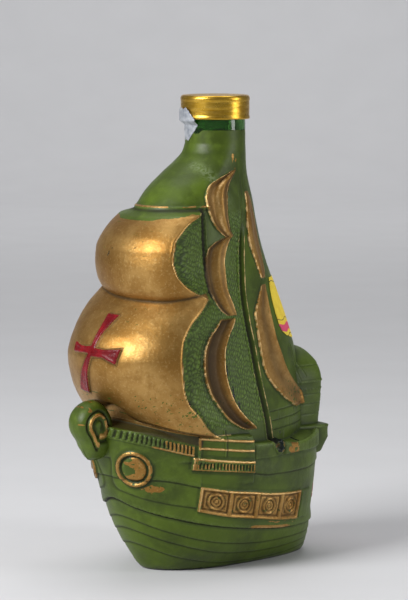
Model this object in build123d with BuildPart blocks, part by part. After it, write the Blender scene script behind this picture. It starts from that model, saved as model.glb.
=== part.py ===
from build123d import *
import math
import os

os.makedirs("parts", exist_ok=True)

# Ship-shaped moulded glass spirit bottle with a screw cap.
# Millimetres. Origin: neck axis at the resting face. +Z up, bow towards -X,
# stern towards +X, port side towards -Y. The bottle is mirror-symmetric about XZ.

# ---------------------------------------------------------------- driving sizes
OVERALL_H = 225.0        # resting face to top of cap
WALL = 3.0               # nominal glass wall
BASE_T = 4.5             # glass thickness at the bottom
KAPPA = 0.5523           # Bezier handle of a true quarter ellipse
K_STERN = 0.655          # fuller handle for the rounded transom

NECK_R = 14.5            # outside of the neck
NECK_BORE_R = 10.2       # inside of the neck
SHOULDER_Z = 202.0       # where the shoulder has become the round neck
LIP_Z = 222.80           # sealing lip
FINISH_R = 14.4          # thread root on the glass
THREAD_R = 15.45         # thread crest on the glass
PITCH = 4.2333           # 6 threads per inch
THREAD_Z0 = 217.2        # start of the glass thread
THREAD_TURNS = 0.8

CAP_R = 16.65            # outside of the cap skirt
CAP_BOTTOM = 213.6
CAP_WALL = 0.75
CAP_BEAD_R = 14.95       # crest of the bead inside the cap
LINER_R = 15.3

RELIEF_PANEL = 1.3
LABEL_T = 0.25

# plan outlines: height, bow x, widest x, stern x, half beam
HULL = [(0, -42.5, -4, 51.0, 20.0), (2, -44.5, -4, 51.4, 22.6), (5, -46.3, -4, 50.8, 25.5),
        (10, -49.2, -4, 49.9, 30.0), (20, -54.5, -4, 48.9, 35.5), (30, -58.6, -4, 48.4, 39.0),
        (40, -62.4, -4, 48.8, 41.0), (50, -66.0, -4, 49.3, 42.0), (60, -69.5, -4, 49.3, 42.4),
        (68, -71.5, -4, 49.3, 42.6)]
CORE = [(56, -50, -16, 47.5, 39.5), (70, -52, -20, 47.5, 39.0), (85, -54, -22, 47.0, 36.8),
        (100, -54, -24, 45.0, 34.0), (115, -50, -23, 40.0, 31.0), (130, -46, -21, 34.0, 27.4),
        (145, -45, -19, 27.5, 24.6), (158, -45.5, -19, 23.2, 23.0), (170, -44.5, -18, 20.0, 22.6),
        (176, -40.5, -17, 18.6, 22.0), (182, -35.0, -15, 17.2, 20.2), (188, -27.5, -11, 16.0, 18.0),
        (194, -19.8, -5, 15.2, 16.1), (198, -15.9, -1.5, 14.9, 15.0), (202, -13.9, 0, 13.9, 13.9)]
FORESAIL = [(66, -60.5, -38, -12, 38.6), (72, -61.5, -38, -12, 40.3), (80, -65.0, -38, -12, 42.0),
            (90, -71.0, -38, -12, 43.0), (100, -75.6, -38, -12, 43.0), (108, -76.8, -38, -12, 42.2),
            (114, -76.0, -38, -12, 40.8), (119, -74.0, -37, -12, 38.8), (123, -70.5, -36, -12, 36.0),
            (125.5, -66.0, -35, -12, 33.0)]
TOPSAIL = [(122, -60.0, -36, -8, 30.5), (126, -60.2, -36, -8, 33.0), (132, -58.6, -36, -8, 34.6),
           (140, -59.6, -36, -8, 35.6), (150, -60.4, -36, -8, 35.2), (157, -58.4, -35, -8, 34.0),
           (163, -54.6, -34, -8, 31.6), (168, -50.0, -33, -8, 28.6), (172, -46.4, -32, -8, 25.5)]

# plan outlines of the hollow inside, about WALL inside the outer ones
HOLLOW_HULL = [(4.5, -42.0, -4, 46.6, 20.5), (10, -45.6, -4, 46.4, 26.4),
               (20, -51.0, -4, 45.5, 32.1), (30, -55.3, -4, 45.1, 35.7),
               (40, -59.1, -4, 45.4, 37.7), (50, -62.6, -4, 45.9, 38.7),
               (60, -65.5, -4, 45.9, 39.1), (64, -66.0, -4, 45.9, 39.0)]
HOLLOW_BODY = [(58, -46, -16, 43.5, 36.0), (70, -48, -20, 43.6, 35.6),
               (85, -50, -22, 43.0, 33.4), (100, -50, -24, 41.0, 30.6),
               (115, -46, -23, 36.0, 27.6), (130, -42, -21, 30.0, 24.2),
               (145, -41, -19, 24.0, 21.4), (158, -40.5, -19, 19.6, 19.8),
               (168, -38.5, -17, 16.6, 18.8), (176, -33.0, -14, 14.4, 17.2),
               (184, -25.0, -10, 12.6, 15.0), (192, -16.0, -4, 11.2, 12.4),
               (198, -11.0, 0, 10.6, 10.6), (202, -9.6, 0, 9.6, 9.6)]
HOLLOW_FORESAIL = [(60, -56.0, -38, -14, 35.0), (72, -58.0, -38, -14, 36.8),
                   (80, -61.6, -38, -14, 38.6), (90, -67.4, -38, -14, 39.6),
                   (100, -72.0, -38, -14, 39.6), (108, -73.0, -38, -14, 38.8),
                   (114, -71.6, -38, -14, 36.8), (119, -67.6, -37, -14, 33.4),
                   (121.5, -63.0, -36, -14, 30.0)]
HOLLOW_TOPSAIL = [(118, -56.0, -36, -10, 27.6), (126, -56.6, -36, -10, 29.4),
                  (132, -55.4, -36, -10, 31.2), (140, -56.2, -36, -10, 32.2),
                  (150, -56.8, -36, -10, 31.6), (157, -54.0, -35, -10, 29.8),
                  (163, -49.0, -34, -10, 26.0), (167, -44.0, -32, -10, 21.5)]


def quarters(xf, xm, xr, b, grow=0.0, kf=KAPPA, ka=KAPPA):
    """Control points of the four Bezier quarters of a closed plan outline."""
    xf, xr, b = xf - grow, xr + grow, b + grow
    return [
        ((xf, 0), (xf, -b * kf), (xm - (xm - xf) * kf, -b), (xm, -b)),
        ((xm, -b), (xm + (xr - xm) * ka, -b), (xr, -b * ka), (xr, 0)),
        ((xr, 0), (xr, b * ka), (xm + (xr - xm) * ka, b), (xm, b)),
        ((xm, b), (xm - (xm - xf) * kf, b), (xf, b * kf), (xf, 0)),
    ]


# ------------------------------------------------ sails of the main and mizzen masts
# Each one swells out of the body on both sides: height, centre x, half width, reach in y.
SAILS = {
    "main_course": [(68, -9.0, 3.5, 38.6), (76, -17.5, 6.0, 40.6), (86, -25.0, 7.5, 39.9),
                    (96, -28.0, 7.5, 38.2), (106, -26.0, 7.5, 36.2), (114, -22.0, 6.5, 33.6),
                    (122, -16.0, 4.0, 29.5)],
    "main_topsail": [(121, -15.5, 4.0, 28.0), (128, -17.0, 5.5, 30.2), (138, -20.0, 6.2, 28.8),
                     (148, -20.0, 6.0, 27.0), (156, -17.0, 4.5, 24.8)],
    "main_topgallant": [(157, -11.0, 2.0, 23.5), (165, -14.0, 6.5, 25.2), (174, -14.5, 8.5, 24.6),
                        (182, -11.5, 7.5, 22.6), (190, -4.0, 4.0, 18.4)],
    "mizzen_upper": [(137, 14.5, 2.5, 20.6), (150, 11.0, 4.0, 20.2), (165, 9.5, 4.0, 18.2),
                     (184, 6.5, 2.0, 15.4)],
    "mizzen_lower": [(76, 26.0, 6.0, 30.0), (86, 17.0, 8.0, 32.4), (97, 11.5, 9.0, 32.0),
                     (109, 9.0, 7.5, 30.2), (121, 9.0, 6.0, 27.6), (135, 14.0, 2.5, 21.6)],
}

# ---------------------------------------------- cross on the front of the foresail
with BuildPart() as cross:
    for z, *row in FORESAIL:
        with BuildSketch(Plane.XY.offset(z)):
            with BuildLine():
                for q in quarters(*row, grow=RELIEF_PANEL, ka=KAPPA):
                    Bezier(*q)
            make_face()
    loft()
    with BuildSketch(Plane.YZ.offset(-90)) as cross_sk:
        for ang, reach, half in ((0, 17.0, 5.2), (180, 17.0, 5.2), (90, 17.5, 5.2), (270, 19.0, 5.2)):
            with BuildLine():
                a = math.radians(ang)
                c, s = math.cos(a), math.sin(a)
                base = (0.0, 106.5)
                pts = [(-1.0, -1.7), (reach, -half), (reach, half), (-1.0, 1.7)]
                Polyline(*[(base[0] + u * c - v * s, base[1] + u * s + v * c) for u, v in pts],
                         close=True)
            make_face()
    extrude(amount=45, mode=Mode.INTERSECT)

# --------------------------------------------------- raised work on the hull sides
with BuildPart() as hull_trim:
    for z, *row in HULL:
        with BuildSketch(Plane.XY.offset(z)):
            with BuildLine():
                for q in quarters(*row, grow=RELIEF_PANEL, ka=K_STERN):
                    Bezier(*q)
            make_face()
    loft()
    with BuildSketch(Plane.XZ.offset(-60)) as trim_sk:
        # gunport panels, a row that follows the sheer
        for x0, x1, z0, z1 in ((-36.0, -21.6, 29.2, 42.4), (-20.2, -6.4, 26.9, 40.6),
                               (-5.0, 9.2, 24.8, 38.6), (10.6, 24.6, 23.0, 36.6)):
            with BuildLine():
                Polyline((x0, z0 + 0.9), (x1, z0 - 0.9), (x1, z1 - 0.5), (x0, z1 + 0.5), close=True)
            make_face()
        # box rails of the waist and the quarter
        with BuildLine():
            Polyline((-41.5, 52.0), (-11.0, 48.5), (-11.0, 54.4), (-41.5, 58.6), close=True)
        make_face()
        with BuildLine():
            Polyline((-3.0, 54.6), (13.0, 55.0), (38.0, 54.6), (38.0, 61.2), (19.0, 60.0),
                     (1.2, 61.4), close=True)
        make_face()
        # fore rail
        with BuildLine():
            Polyline((-66.0, 66.4), (-54.8, 63.6), (-43.5, 60.4), (-41.0, 63.2), (-51.0, 66.2),
                     (-58.0, 67.9), (-66.0, 67.9), close=True)
        make_face()
    extrude(amount=120, mode=Mode.INTERSECT)

with BuildPart() as hawse_rings:
    # round ring with a stepped centre on each side of the bow
    for z, *row in HULL:
        with BuildSketch(Plane.XY.offset(z)):
            with BuildLine():
                for q in quarters(*row, grow=1.6, ka=K_STERN):
                    Bezier(*q)
            make_face()
    loft()
    with BuildSketch(Plane(origin=(-66.0, 16.5, 52.4), x_dir=(0.62, 0.78, 0), z_dir=(-0.78, 0.62, 0)).offset(-14)):
        Circle(9.6)
        Circle(6.6, mode=Mode.SUBTRACT)
    with BuildSketch(Plane(origin=(-66.0, -16.5, 52.4), x_dir=(0.62, -0.78, 0), z_dir=(0.78, 0.62, 0)).offset(-14)):
        Circle(9.6)
        Circle(6.6, mode=Mode.SUBTRACT)
    extrude(amount=28, mode=Mode.INTERSECT)

# ------------------------------------------------- right-hand thread of the finish
with BuildPart() as glass_thread:
    with BuildLine() as glass_helix:
        Helix(PITCH, PITCH * THREAD_TURNS, FINISH_R, center=(0, 0, THREAD_Z0))
    with BuildSketch(Plane(origin=glass_helix.line @ 0, x_dir=(1, 0, 0), z_dir=glass_helix.line % 0)):
        with BuildLine():
            crest = THREAD_R - FINISH_R
            Polyline((-0.6, -1.0), (0, -1.0), (crest, -0.35), (crest, 0.35), (0, 1.0), (-0.6, 1.0),
                     close=True)
        make_face()
    sweep(path=glass_helix.line, is_frenet=True)

# ----------------------------------------------------------------- the glass bottle
with BuildPart() as glass_bottle:
    for z, *row in HULL:
        with BuildSketch(Plane.XY.offset(z)):
            with BuildLine():
                for q in quarters(*row, grow=0.0, ka=K_STERN):
                    Bezier(*q)
            make_face()
    loft()
    for z, *row in CORE:
        with BuildSketch(Plane.XY.offset(z)):
            with BuildLine():
                for q in quarters(*row, grow=0.0, ka=KAPPA):
                    Bezier(*q)
            make_face()
    loft()
    for z, *row in FORESAIL:
        with BuildSketch(Plane.XY.offset(z)):
            with BuildLine():
                for q in quarters(*row, grow=0.0, ka=KAPPA):
                    Bezier(*q)
            make_face()
    loft()
    for z, *row in TOPSAIL:
        with BuildSketch(Plane.XY.offset(z)):
            with BuildLine():
                for q in quarters(*row, grow=0.0, ka=KAPPA):
                    Bezier(*q)
            make_face()
    loft()
    for rows in SAILS.values():
        for z, xc, w, reach in rows:
            with BuildSketch(Plane.XY.offset(z)):
                with Locations((xc, 0)):
                    Ellipse(w, reach)
        loft()
    add(cross.part)
    add(hull_trim.part)
    add(hawse_rings.part)
    # stern castle: arched block with a rounded aft face
    with BuildSketch(Plane.YZ.offset(22)) as castle_sk:
        with BuildLine():
            Polyline((-21.5, 60), (21.5, 60))
            Line((21.5, 60), (21.5, 86))
            Bezier((21.5, 86), (21.5, 95), (12, 100.5), (0, 100.5))
            Bezier((0, 100.5), (-12, 100.5), (-21.5, 95), (-21.5, 86))
            Line((-21.5, 86), (-21.5, 60))
        make_face()
    extrude(amount=30.5)
    # stern gallery under the castle
    with BuildSketch(Plane.XZ.offset(-24.5)) as gallery_sk:
        with BuildLine():
            Polyline((26, 50), (49.2, 50), (54.6, 56.5), (54.6, 62.5), (51, 64.5), (26, 64.5),
                     close=True)
        make_face()
    extrude(amount=49)
    # scroll head at the bow, with its stem
    with BuildSketch(Plane.XZ.offset(-7.4)) as head_sk:
        with Locations((-75.2, 73.6)):
            Circle(9.9)
        with BuildLine():
            Polyline((-84.6, 70.5), (-76.5, 56.5), (-68.0, 50.0), (-60.0, 52.0), (-60.0, 78.0),
                     (-75.2, 83.4), close=True)
        make_face()
    extrude(amount=14.8)
    # round neck
    with BuildSketch(Plane.XY.offset(SHOULDER_Z - 7.0)):
        Circle(NECK_R)
    extrude(amount=212.3 - SHOULDER_Z + 7.0)
    # finish: thread root and rounded sealing lip
    with BuildSketch(Plane.XZ) as finish_sk:
        with BuildLine():
            Polyline((NECK_BORE_R - 2, 212.0), (NECK_R, 212.0), (NECK_R, 212.6), (FINISH_R, 213.0),
                     (FINISH_R, LIP_Z - 1.0), (FINISH_R - 0.8, LIP_Z), (NECK_BORE_R - 2, LIP_Z),
                     close=True)
        make_face()
    revolve(axis=Axis.Z)

    # ---- hollow inside
    for z, *row in HOLLOW_HULL:
        with BuildSketch(Plane.XY.offset(z)):
            with BuildLine():
                for q in quarters(*row, grow=0.0, ka=K_STERN):
                    Bezier(*q)
            make_face()
    loft(mode=Mode.SUBTRACT)
    for z, *row in HOLLOW_BODY:
        with BuildSketch(Plane.XY.offset(z)):
            with BuildLine():
                for q in quarters(*row, grow=0.0, ka=KAPPA):
                    Bezier(*q)
            make_face()
    loft(mode=Mode.SUBTRACT)
    for z, *row in HOLLOW_FORESAIL:
        with BuildSketch(Plane.XY.offset(z)):
            with BuildLine():
                for q in quarters(*row, grow=0.0, ka=KAPPA):
                    Bezier(*q)
            make_face()
    loft(mode=Mode.SUBTRACT)
    for z, *row in HOLLOW_TOPSAIL:
        with BuildSketch(Plane.XY.offset(z)):
            with BuildLine():
                for q in quarters(*row, grow=0.0, ka=KAPPA):
                    Bezier(*q)
            make_face()
    loft(mode=Mode.SUBTRACT)
    with BuildSketch(Plane.XY.offset(SHOULDER_Z - 3.6)):
        Circle(NECK_BORE_R)
    extrude(amount=30, mode=Mode.SUBTRACT)
    add(glass_thread.part)
glass_bottle.part.label = "glass_bottle"
export_step(glass_bottle.part, "parts/glass_bottle.step")


# ------------------------------------------------------------------------- screw cap
CAP_IN_R = CAP_R - CAP_WALL
CAP_TOP_IN = OVERALL_H - CAP_WALL
with BuildPart() as cap_bead:
    with BuildLine() as cap_helix:
        Helix(PITCH, PITCH * 0.9, CAP_IN_R, center=(0, 0, THREAD_Z0 - PITCH / 2 + 0.1))
    with BuildSketch(Plane(origin=cap_helix.line @ 0, x_dir=(1, 0, 0), z_dir=cap_helix.line % 0)):
        with BuildLine():
            tip = CAP_BEAD_R - CAP_IN_R
            Polyline((0.4, -0.8), (0, -0.8), (tip, -0.3), (tip, 0.3), (0, 0.8), (0.4, 0.8),
                     close=True)
        make_face()
    sweep(path=cap_helix.line, is_frenet=True)

with BuildPart() as cap_shell:
    add(cap_bead.part)
    with BuildSketch(Plane.XZ) as cap_sk:
        with BuildLine():
            Polyline((0, CAP_TOP_IN), (CAP_IN_R - 0.4, CAP_TOP_IN), (CAP_IN_R, CAP_TOP_IN - 0.4),
                     (CAP_IN_R, CAP_BOTTOM + 0.3), (CAP_IN_R + 0.1, CAP_BOTTOM),
                     (CAP_R - 0.2, CAP_BOTTOM), (CAP_R, CAP_BOTTOM + 0.3), (CAP_R, CAP_BOTTOM + 1.0),
                     (CAP_R - 0.15, CAP_BOTTOM + 1.35), (CAP_R - 0.15, OVERALL_H - 2.0))
            Bezier((CAP_R - 0.15, OVERALL_H - 2.0), (CAP_R - 0.15, OVERALL_H - 0.7),
                   (CAP_R - 0.9, OVERALL_H), (CAP_R - 2.2, OVERALL_H))
            Polyline((CAP_R - 2.2, OVERALL_H), (0, OVERALL_H), (0, CAP_TOP_IN))
        make_face()
    revolve(axis=Axis.Z)
cap_shell.part.label = "cap_shell"
export_step(cap_shell.part, "parts/cap_shell.step")

# cork-composition wad and its foil facing
FACING_T = 0.25
GAP = 0.06
with BuildPart() as cap_liner:
    with BuildSketch(Plane.XY.offset(LIP_Z + GAP + FACING_T)):
        Circle(LINER_R)
    extrude(amount=CAP_TOP_IN - GAP - (LIP_Z + GAP + FACING_T))
cap_liner.part.label = "cap_liner"
export_step(cap_liner.part, "parts/cap_liner.step")

with BuildPart() as liner_facing:
    with BuildSketch(Plane.XY.offset(LIP_Z + GAP)):
        Circle(LINER_R - 0.1)
    extrude(amount=FACING_T)
liner_facing.part.label = "liner_facing"
export_step(liner_facing.part, "parts/liner_facing.step")

# -------------------------------------------- remnant of the paper strip over the cap
STRIP_T = 0.30
STRIP_LOW_R = NECK_R + 0.02
STRIP_HIGH_R = CAP_R + 0.32
start = math.radians(139)
along = math.radians(260)
with BuildPart() as tax_strip:
    with BuildSketch(Plane(origin=(0, 0, 0), x_dir=(math.cos(start), math.sin(start), 0),
                           z_dir=(math.sin(start), -math.cos(start), 0))) as strip_sk:
        with BuildLine():
            Polyline((STRIP_LOW_R, 202.6), (STRIP_LOW_R, 211.2), (STRIP_HIGH_R, 212.9),
                     (STRIP_HIGH_R, 219.8), (STRIP_HIGH_R + STRIP_T, 219.8),
                     (STRIP_HIGH_R + STRIP_T, 212.8), (STRIP_LOW_R + STRIP_T, 211.0),
                     (STRIP_LOW_R + STRIP_T, 202.6), close=True)
        make_face()
    revolve(axis=Axis.Z, revolution_arc=62)
    with BuildSketch(Plane(origin=(0, 0, 0), x_dir=(math.cos(along), math.sin(along), 0),
                           z_dir=(math.sin(along), -math.cos(along), 0))) as torn_sk:
        with BuildLine():
            Polyline((-8.3, 214.5), (-7.2, 217.6), (-4.6, 219.0), (-2.6, 219.0), (0.2, 218.5),
                     (1.7, 219.3), (4.1, 217.5), (6.0, 215.2), (7.5, 213.6), (6.8, 211.0),
                     (5.4, 209.0), (4.3, 207.5), (2.2, 205.2), (0.2, 203.2), (-1.6, 203.8),
                     (-3.4, 203.4), (-5.2, 206.4), (-6.4, 208.8), (-7.4, 211.6), close=True)
        make_face()
    extrude(amount=30, mode=Mode.INTERSECT)
tax_strip.part.label = "tax_strip"
export_step(tax_strip.part, "parts/tax_strip.step")

# ------------------------------------------------------------- paper labels (skins)
with BuildPart() as back_label:
    for z, *row in CORE[2:8]:
        with BuildSketch(Plane.XY.offset(z)):
            with BuildLine():
                for q in quarters(*row, grow=LABEL_T):
                    Bezier(*q)
            make_face()
    loft()
    with BuildSketch(Plane.YZ.offset(10)):
        with BuildLine():
            Polyline((-16.0, 137.0), (16.0, 137.0), (19.8, 126.5), (22.0, 114.0))
            Bezier((22.0, 114.0), (22.6, 108.5), (18.0, 106.0), (8.0, 106.0))
            Line((8.0, 106.0), (-8.0, 106.0))
            Bezier((-8.0, 106.0), (-18.0, 106.0), (-22.6, 108.5), (-22.0, 114.0))
            Polyline((-22.0, 114.0), (-19.8, 126.5), (-16.0, 137.0))
        make_face()
    extrude(amount=45, mode=Mode.INTERSECT)
    for z, *row in CORE[2:8]:
        with BuildSketch(Plane.XY.offset(z)):
            with BuildLine():
                for q in quarters(*row, grow=0.02):
                    Bezier(*q)
            make_face()
    loft(mode=Mode.SUBTRACT)
back_label.part.label = "back_label"
export_step(back_label.part, "parts/back_label.step")

with BuildPart() as stern_label:
    for z, *row in HULL:
        with BuildSketch(Plane.XY.offset(z)):
            with BuildLine():
                for q in quarters(*row, grow=LABEL_T, ka=K_STERN):
                    Bezier(*q)
            make_face()
    loft()
    with BuildSketch(Plane.YZ.offset(30)):
        with Locations((0, 38.2)):
            RectangleRounded(48.0, 21.5, 2.0)
    extrude(amount=30, mode=Mode.INTERSECT)
    for z, *row in HULL:
        with BuildSketch(Plane.XY.offset(z)):
            with BuildLine():
                for q in quarters(*row, grow=0.02, ka=K_STERN):
                    Bezier(*q)
            make_face()
    loft(mode=Mode.SUBTRACT)
stern_label.part.label = "stern_label"
export_step(stern_label.part, "parts/stern_label.step")

for made in (glass_bottle, cap_shell, cap_liner, liner_facing, tax_strip, back_label, stern_label):
    print(made.part.label, len(made.part.solids()), round(made.part.volume / 1000, 3), made.part.is_valid,
          made.part.bounding_box())
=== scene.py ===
import bpy
import math
import numpy as np
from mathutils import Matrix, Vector


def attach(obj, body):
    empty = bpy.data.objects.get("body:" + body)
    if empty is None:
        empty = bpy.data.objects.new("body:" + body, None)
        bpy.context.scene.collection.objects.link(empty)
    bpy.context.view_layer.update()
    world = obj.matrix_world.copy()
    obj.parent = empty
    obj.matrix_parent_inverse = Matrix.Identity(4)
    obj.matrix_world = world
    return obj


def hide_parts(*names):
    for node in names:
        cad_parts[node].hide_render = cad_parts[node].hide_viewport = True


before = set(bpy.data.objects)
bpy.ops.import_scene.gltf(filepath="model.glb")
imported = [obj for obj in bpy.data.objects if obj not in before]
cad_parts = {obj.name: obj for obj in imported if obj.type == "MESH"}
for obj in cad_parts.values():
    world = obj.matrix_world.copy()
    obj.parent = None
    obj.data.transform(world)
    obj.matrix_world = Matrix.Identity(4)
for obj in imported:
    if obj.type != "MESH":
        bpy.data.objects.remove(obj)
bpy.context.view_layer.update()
MM = 0.001
rng = np.random.default_rng(7)


# ------------------------------------------------------------------ small maths
def pchip(x, y, xq):
    x = np.asarray(x, float)
    y = np.asarray(y, float)
    h = np.diff(x)
    d = np.diff(y) / h
    m = np.zeros(len(x))
    w1 = 2 * h[1:] + h[:-1]
    w2 = h[1:] + 2 * h[:-1]
    ok = (d[:-1] * d[1:]) > 0
    with np.errstate(divide="ignore", invalid="ignore"):
        mm = (w1 + w2) / (w1 / d[:-1] + w2 / d[1:])
    m[1:-1] = np.where(ok, mm, 0)
    m[0] = d[0]
    m[-1] = d[-1]
    xq = np.clip(xq, x[0], x[-1])
    i = np.clip(np.searchsorted(x, xq) - 1, 0, len(h) - 1)
    t = (xq - x[i]) / h[i]
    return ((2 * t**3 - 3 * t**2 + 1) * y[i] + (t**3 - 2 * t**2 + t) * h[i] * m[i]
            + (-2 * t**3 + 3 * t**2) * y[i + 1] + (t**3 - t**2) * h[i] * m[i + 1])


def curve(pts, q):
    """Smooth value through (key, value) pairs given in rising or falling order."""
    p = sorted(pts)
    return pchip([a for a, _ in p], [b for _, b in p], q)


def sstep(a, b, x):
    t = np.clip((x - a) / (b - a), 0, 1)
    return t * t * (3 - 2 * t)


def bumpf(x, w):
    """1 at 0, falling smoothly to 0 at |x| = w."""
    t = np.clip(1 - np.abs(x) / w, 0, 1)
    return t * t * (3 - 2 * t)


def smax(a, b, k):
    h = np.clip(0.5 + 0.5 * (a - b) / k, 0, 1)
    return b * (1 - h) + a * h + k * h * (1 - h)


def noise2(u, v, seed, octaves=3):
    """Smooth value noise, about -1 to 1; u and v in cells."""
    out = np.zeros(np.broadcast(u, v).shape)
    amp, tot = 1.0, 0.0
    for o in range(octaves):
        g = np.random.default_rng(seed + o).uniform(-1, 1, (64, 64))
        uu, vv = u * 2**o, v * 2**o
        i, j = np.floor(uu).astype(int), np.floor(vv).astype(int)
        fu, fv = uu - i, vv - j
        fu, fv = fu * fu * (3 - 2 * fu), fv * fv * (3 - 2 * fv)
        a, b = g[i % 64, j % 64], g[(i + 1) % 64, j % 64]
        c, d = g[i % 64, (j + 1) % 64], g[(i + 1) % 64, (j + 1) % 64]
        out += amp * (a * (1 - fu) * (1 - fv) + b * fu * (1 - fv) + c * (1 - fu) * fv + d * fu * fv)
        tot += amp
        amp *= 0.55
    return out / tot


# ------------------------------------------------------- plan outlines, millimetres
HULL = [(0, -42.5, -4, 51.0, 20.0), (2, -44.5, -4, 51.4, 22.6), (5, -46.3, -4, 50.8, 25.5),
        (10, -49.2, -4, 49.9, 30.0), (20, -54.5, -4, 48.9, 35.5), (30, -58.6, -4, 48.4, 39.0),
        (40, -62.4, -4, 48.8, 41.0), (50, -66.0, -4, 49.3, 42.0), (60, -69.5, -4, 49.3, 42.4),
        (72, -72.5, -4, 49.3, 42.6)]
CORE = [(56, -59, -18, 47.5, 39.3), (70, -59, -20, 47.5, 39.0), (85, -60, -22, 47.0, 36.8),
        (100, -54, -24, 45.0, 34.0), (115, -50, -23, 40.0, 31.0), (130, -46, -21, 34.0, 27.4),
        (145, -45, -19, 27.5, 24.6), (158, -45.5, -19, 23.2, 23.0), (170, -44.5, -18, 20.0, 22.6),
        (176, -40.5, -17, 18.6, 22.0), (182, -35.0, -15, 17.2, 20.2), (188, -27.5, -11, 16.0, 18.0),
        (194, -19.8, -5, 15.2, 16.1), (198, -15.9, -1.5, 14.9, 15.0), (202, -14.5, 0, 14.5, 14.5)]
FORE = [(60, -60.0, -38, 0, 38.0), (72, -61.5, -38, 0, 40.3), (80, -67.0, -38, 0, 42.2), (83, -69.3, -38, 0, 42.6),
        (90, -73.3, -38, 0, 43.3), (100, -76.6, -38, 0, 43.1), (104, -76.9, -38, 0, 42.8), (109, -76.0, -38, 0, 41.6),
        (115, -73.0, -38, 0, 39.2), (119.5, -69.2, -38, 0, 37.4), (123.6, -65.3, -38, 0, 35.6), (128, -60.6, -37, 0, 33.0),
        (131.3, -57.0, -36, 0, 31.0), (135, -52.0, -35, 0, 27.0)]
TOP = [(120, -40.5, -35, 0, 18.0), (126, -48.5, -35, 0, 24.0), (129, -53.5, -36, 0, 28.2), (131.3, -56.6, -36, 0, 30.8),
       (134, -58.8, -36, 0, 32.6), (137.3, -60.0, -36, 0, 33.8), (146.2, -61.0, -36, 0, 34.6), (153.6, -60.2, -36, 0, 34.3),
       (158.7, -58.0, -35, 0, 32.8), (164.2, -53.3, -34, 0, 30.0), (169, -47.5, -33, 0, 26.4), (173, -41.5, -32, 0, 21.5)]
# how far the crease between them lies above its height at the bow, by bearing
CREASE = 131.3
LIFT = [(0, 4.5), (60, 4.5), (120, 5.0), (152, 3.6), (165, 1.8), (180, 0.0), (195, -0.7), (205, -0.8), (215, 0.3), (221, 1.5),
        (240, 4.0), (300, 4.5), (360, 4.5)]


def tab(rows, z):
    a = np.array(rows, float)
    return [pchip(a[:, 0], a[:, k], z) for k in range(1, 5)]


def closed_r(rows, z, th, nf, na):
    """Polar radius about the neck axis of plan outlines that hold the axis."""
    xf, xm, xr, b = tab(rows, z)
    t = np.linspace(0, np.pi, 541)
    c, s = np.cos(t), np.sin(t)
    q = np.abs(np.arctan2(np.sin(th), np.cos(th)))
    out = np.empty((len(z), len(th)))
    for i in range(len(z)):
        n1 = nf[i] if np.ndim(nf) else nf
        X = np.where(c < 0, xm[i] - (xm[i] - xf[i]) * np.abs(c) ** (2 / n1),
                     xm[i] + (xr[i] - xm[i]) * np.abs(c) ** (2 / na))
        Y = b[i] * np.where(c < 0, s ** (2 / n1), s ** (2 / na))
        a = np.arctan2(Y, X)
        o = np.argsort(a)
        out[i] = np.interp(q, a[o], np.hypot(X, Y)[o])
    return out


def front_r(rows, zz, th):
    """Polar radius of sail outlines: half ellipse in front, straight sides behind.
    zz is one height per vertex, so a sail may be lifted by an amount that varies round it."""
    xf, xm, xr, b = tab(rows, zz)
    q = np.abs(np.arctan2(np.sin(th), np.cos(th))) + 0 * zz
    cq, sq = np.cos(q), np.sin(q)
    # ray (r cq, r sq) against ((x-xm)/(xm-xf))^2 + (y/b)^2 = 1
    a = xm - xf
    A = (cq / a) ** 2 + (sq / b) ** 2
    B = -2 * xm * cq / a**2
    C = (xm / a) ** 2 - 1
    disc = B * B - 4 * A * C
    r1 = (-B + np.sqrt(np.maximum(disc, 0))) / (2 * A)
    hit = (disc > 0) & (r1 * cq <= xm)
    r2 = b / np.maximum(sq, 0.05)
    return np.where(hit, r1, np.minimum(r2, 80))


# leech (free edge) of the two forward sails: x as a function of height
LEECH_F = [(64, -22), (67.5, -30), (72, -36.5), (76.9, -40.6), (84.9, -47.8), (91.6, -50.2),
           (102.6, -51.0), (111.6, -49.2), (117, -46.0), (121, -42.6), (126, -36.0), (131, -29.5)]
LEECH_T = [(127, -24), (131.8, -31.0), (136.7, -41.0), (142.9, -46.6), (149.8, -48.2), (157.5, -46.4),
           (163, -41.6), (166.5, -37.0), (170.4, -28.0), (174, -22)]
FOOT_F = [(-80, 86.5), (-70, 82.8), (-66.8, 80.4), (-63.8, 77.2), (-60.1, 74.4), (-49.1, 70.4), (-40, 68.5),
          (-28.9, 67.0), (0, 66.6)]
SHEER = [(-80, 73.0), (-70, 72.0), (-58, 70.4), (-50, 67.6), (-43, 64.8), (-39.6, 64.2), (-38.2, 67.4),
         (-30, 67.2), (-11.8, 66.2), (-10.4, 62.4), (1, 61.8), (19, 60.2), (36, 61.8), (60, 62.0)]

NT = 900
th = np.arange(NT) * 2 * np.pi / NT
zf = np.arange(0, 202.01, 0.25)
TH, ZF = np.meshgrid(th, zf)
fwd = np.clip((np.abs(np.arctan2(np.sin(TH), -np.cos(TH)))) / (np.pi / 2), 0, 1)   # 0 at the bow

nf = np.where(zf < 85, 2.5, np.where(zf > 110, 2.0, 2.5 - 0.5 * (zf - 85) / 25))
Rc = closed_r(CORE, np.maximum(zf, 56), th, nf, 2.0)
Rh = closed_r(HULL, np.minimum(zf, 72), th, 2.0, 2.5)
lift = pchip([a for a, _ in LIFT], [b for _, b in LIFT], np.degrees(TH) % 360)
Rf = front_r(FORE, ZF - lift * sstep(106, 126, ZF), TH)
Rt = front_r(TOP, ZF - lift * (1 - sstep(136, 152, ZF)) - 1.6 * (fwd**1.5) * sstep(150, 168, ZF), TH)


def at(r):
    return r * np.cos(TH), r * np.abs(np.sin(TH))


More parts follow.
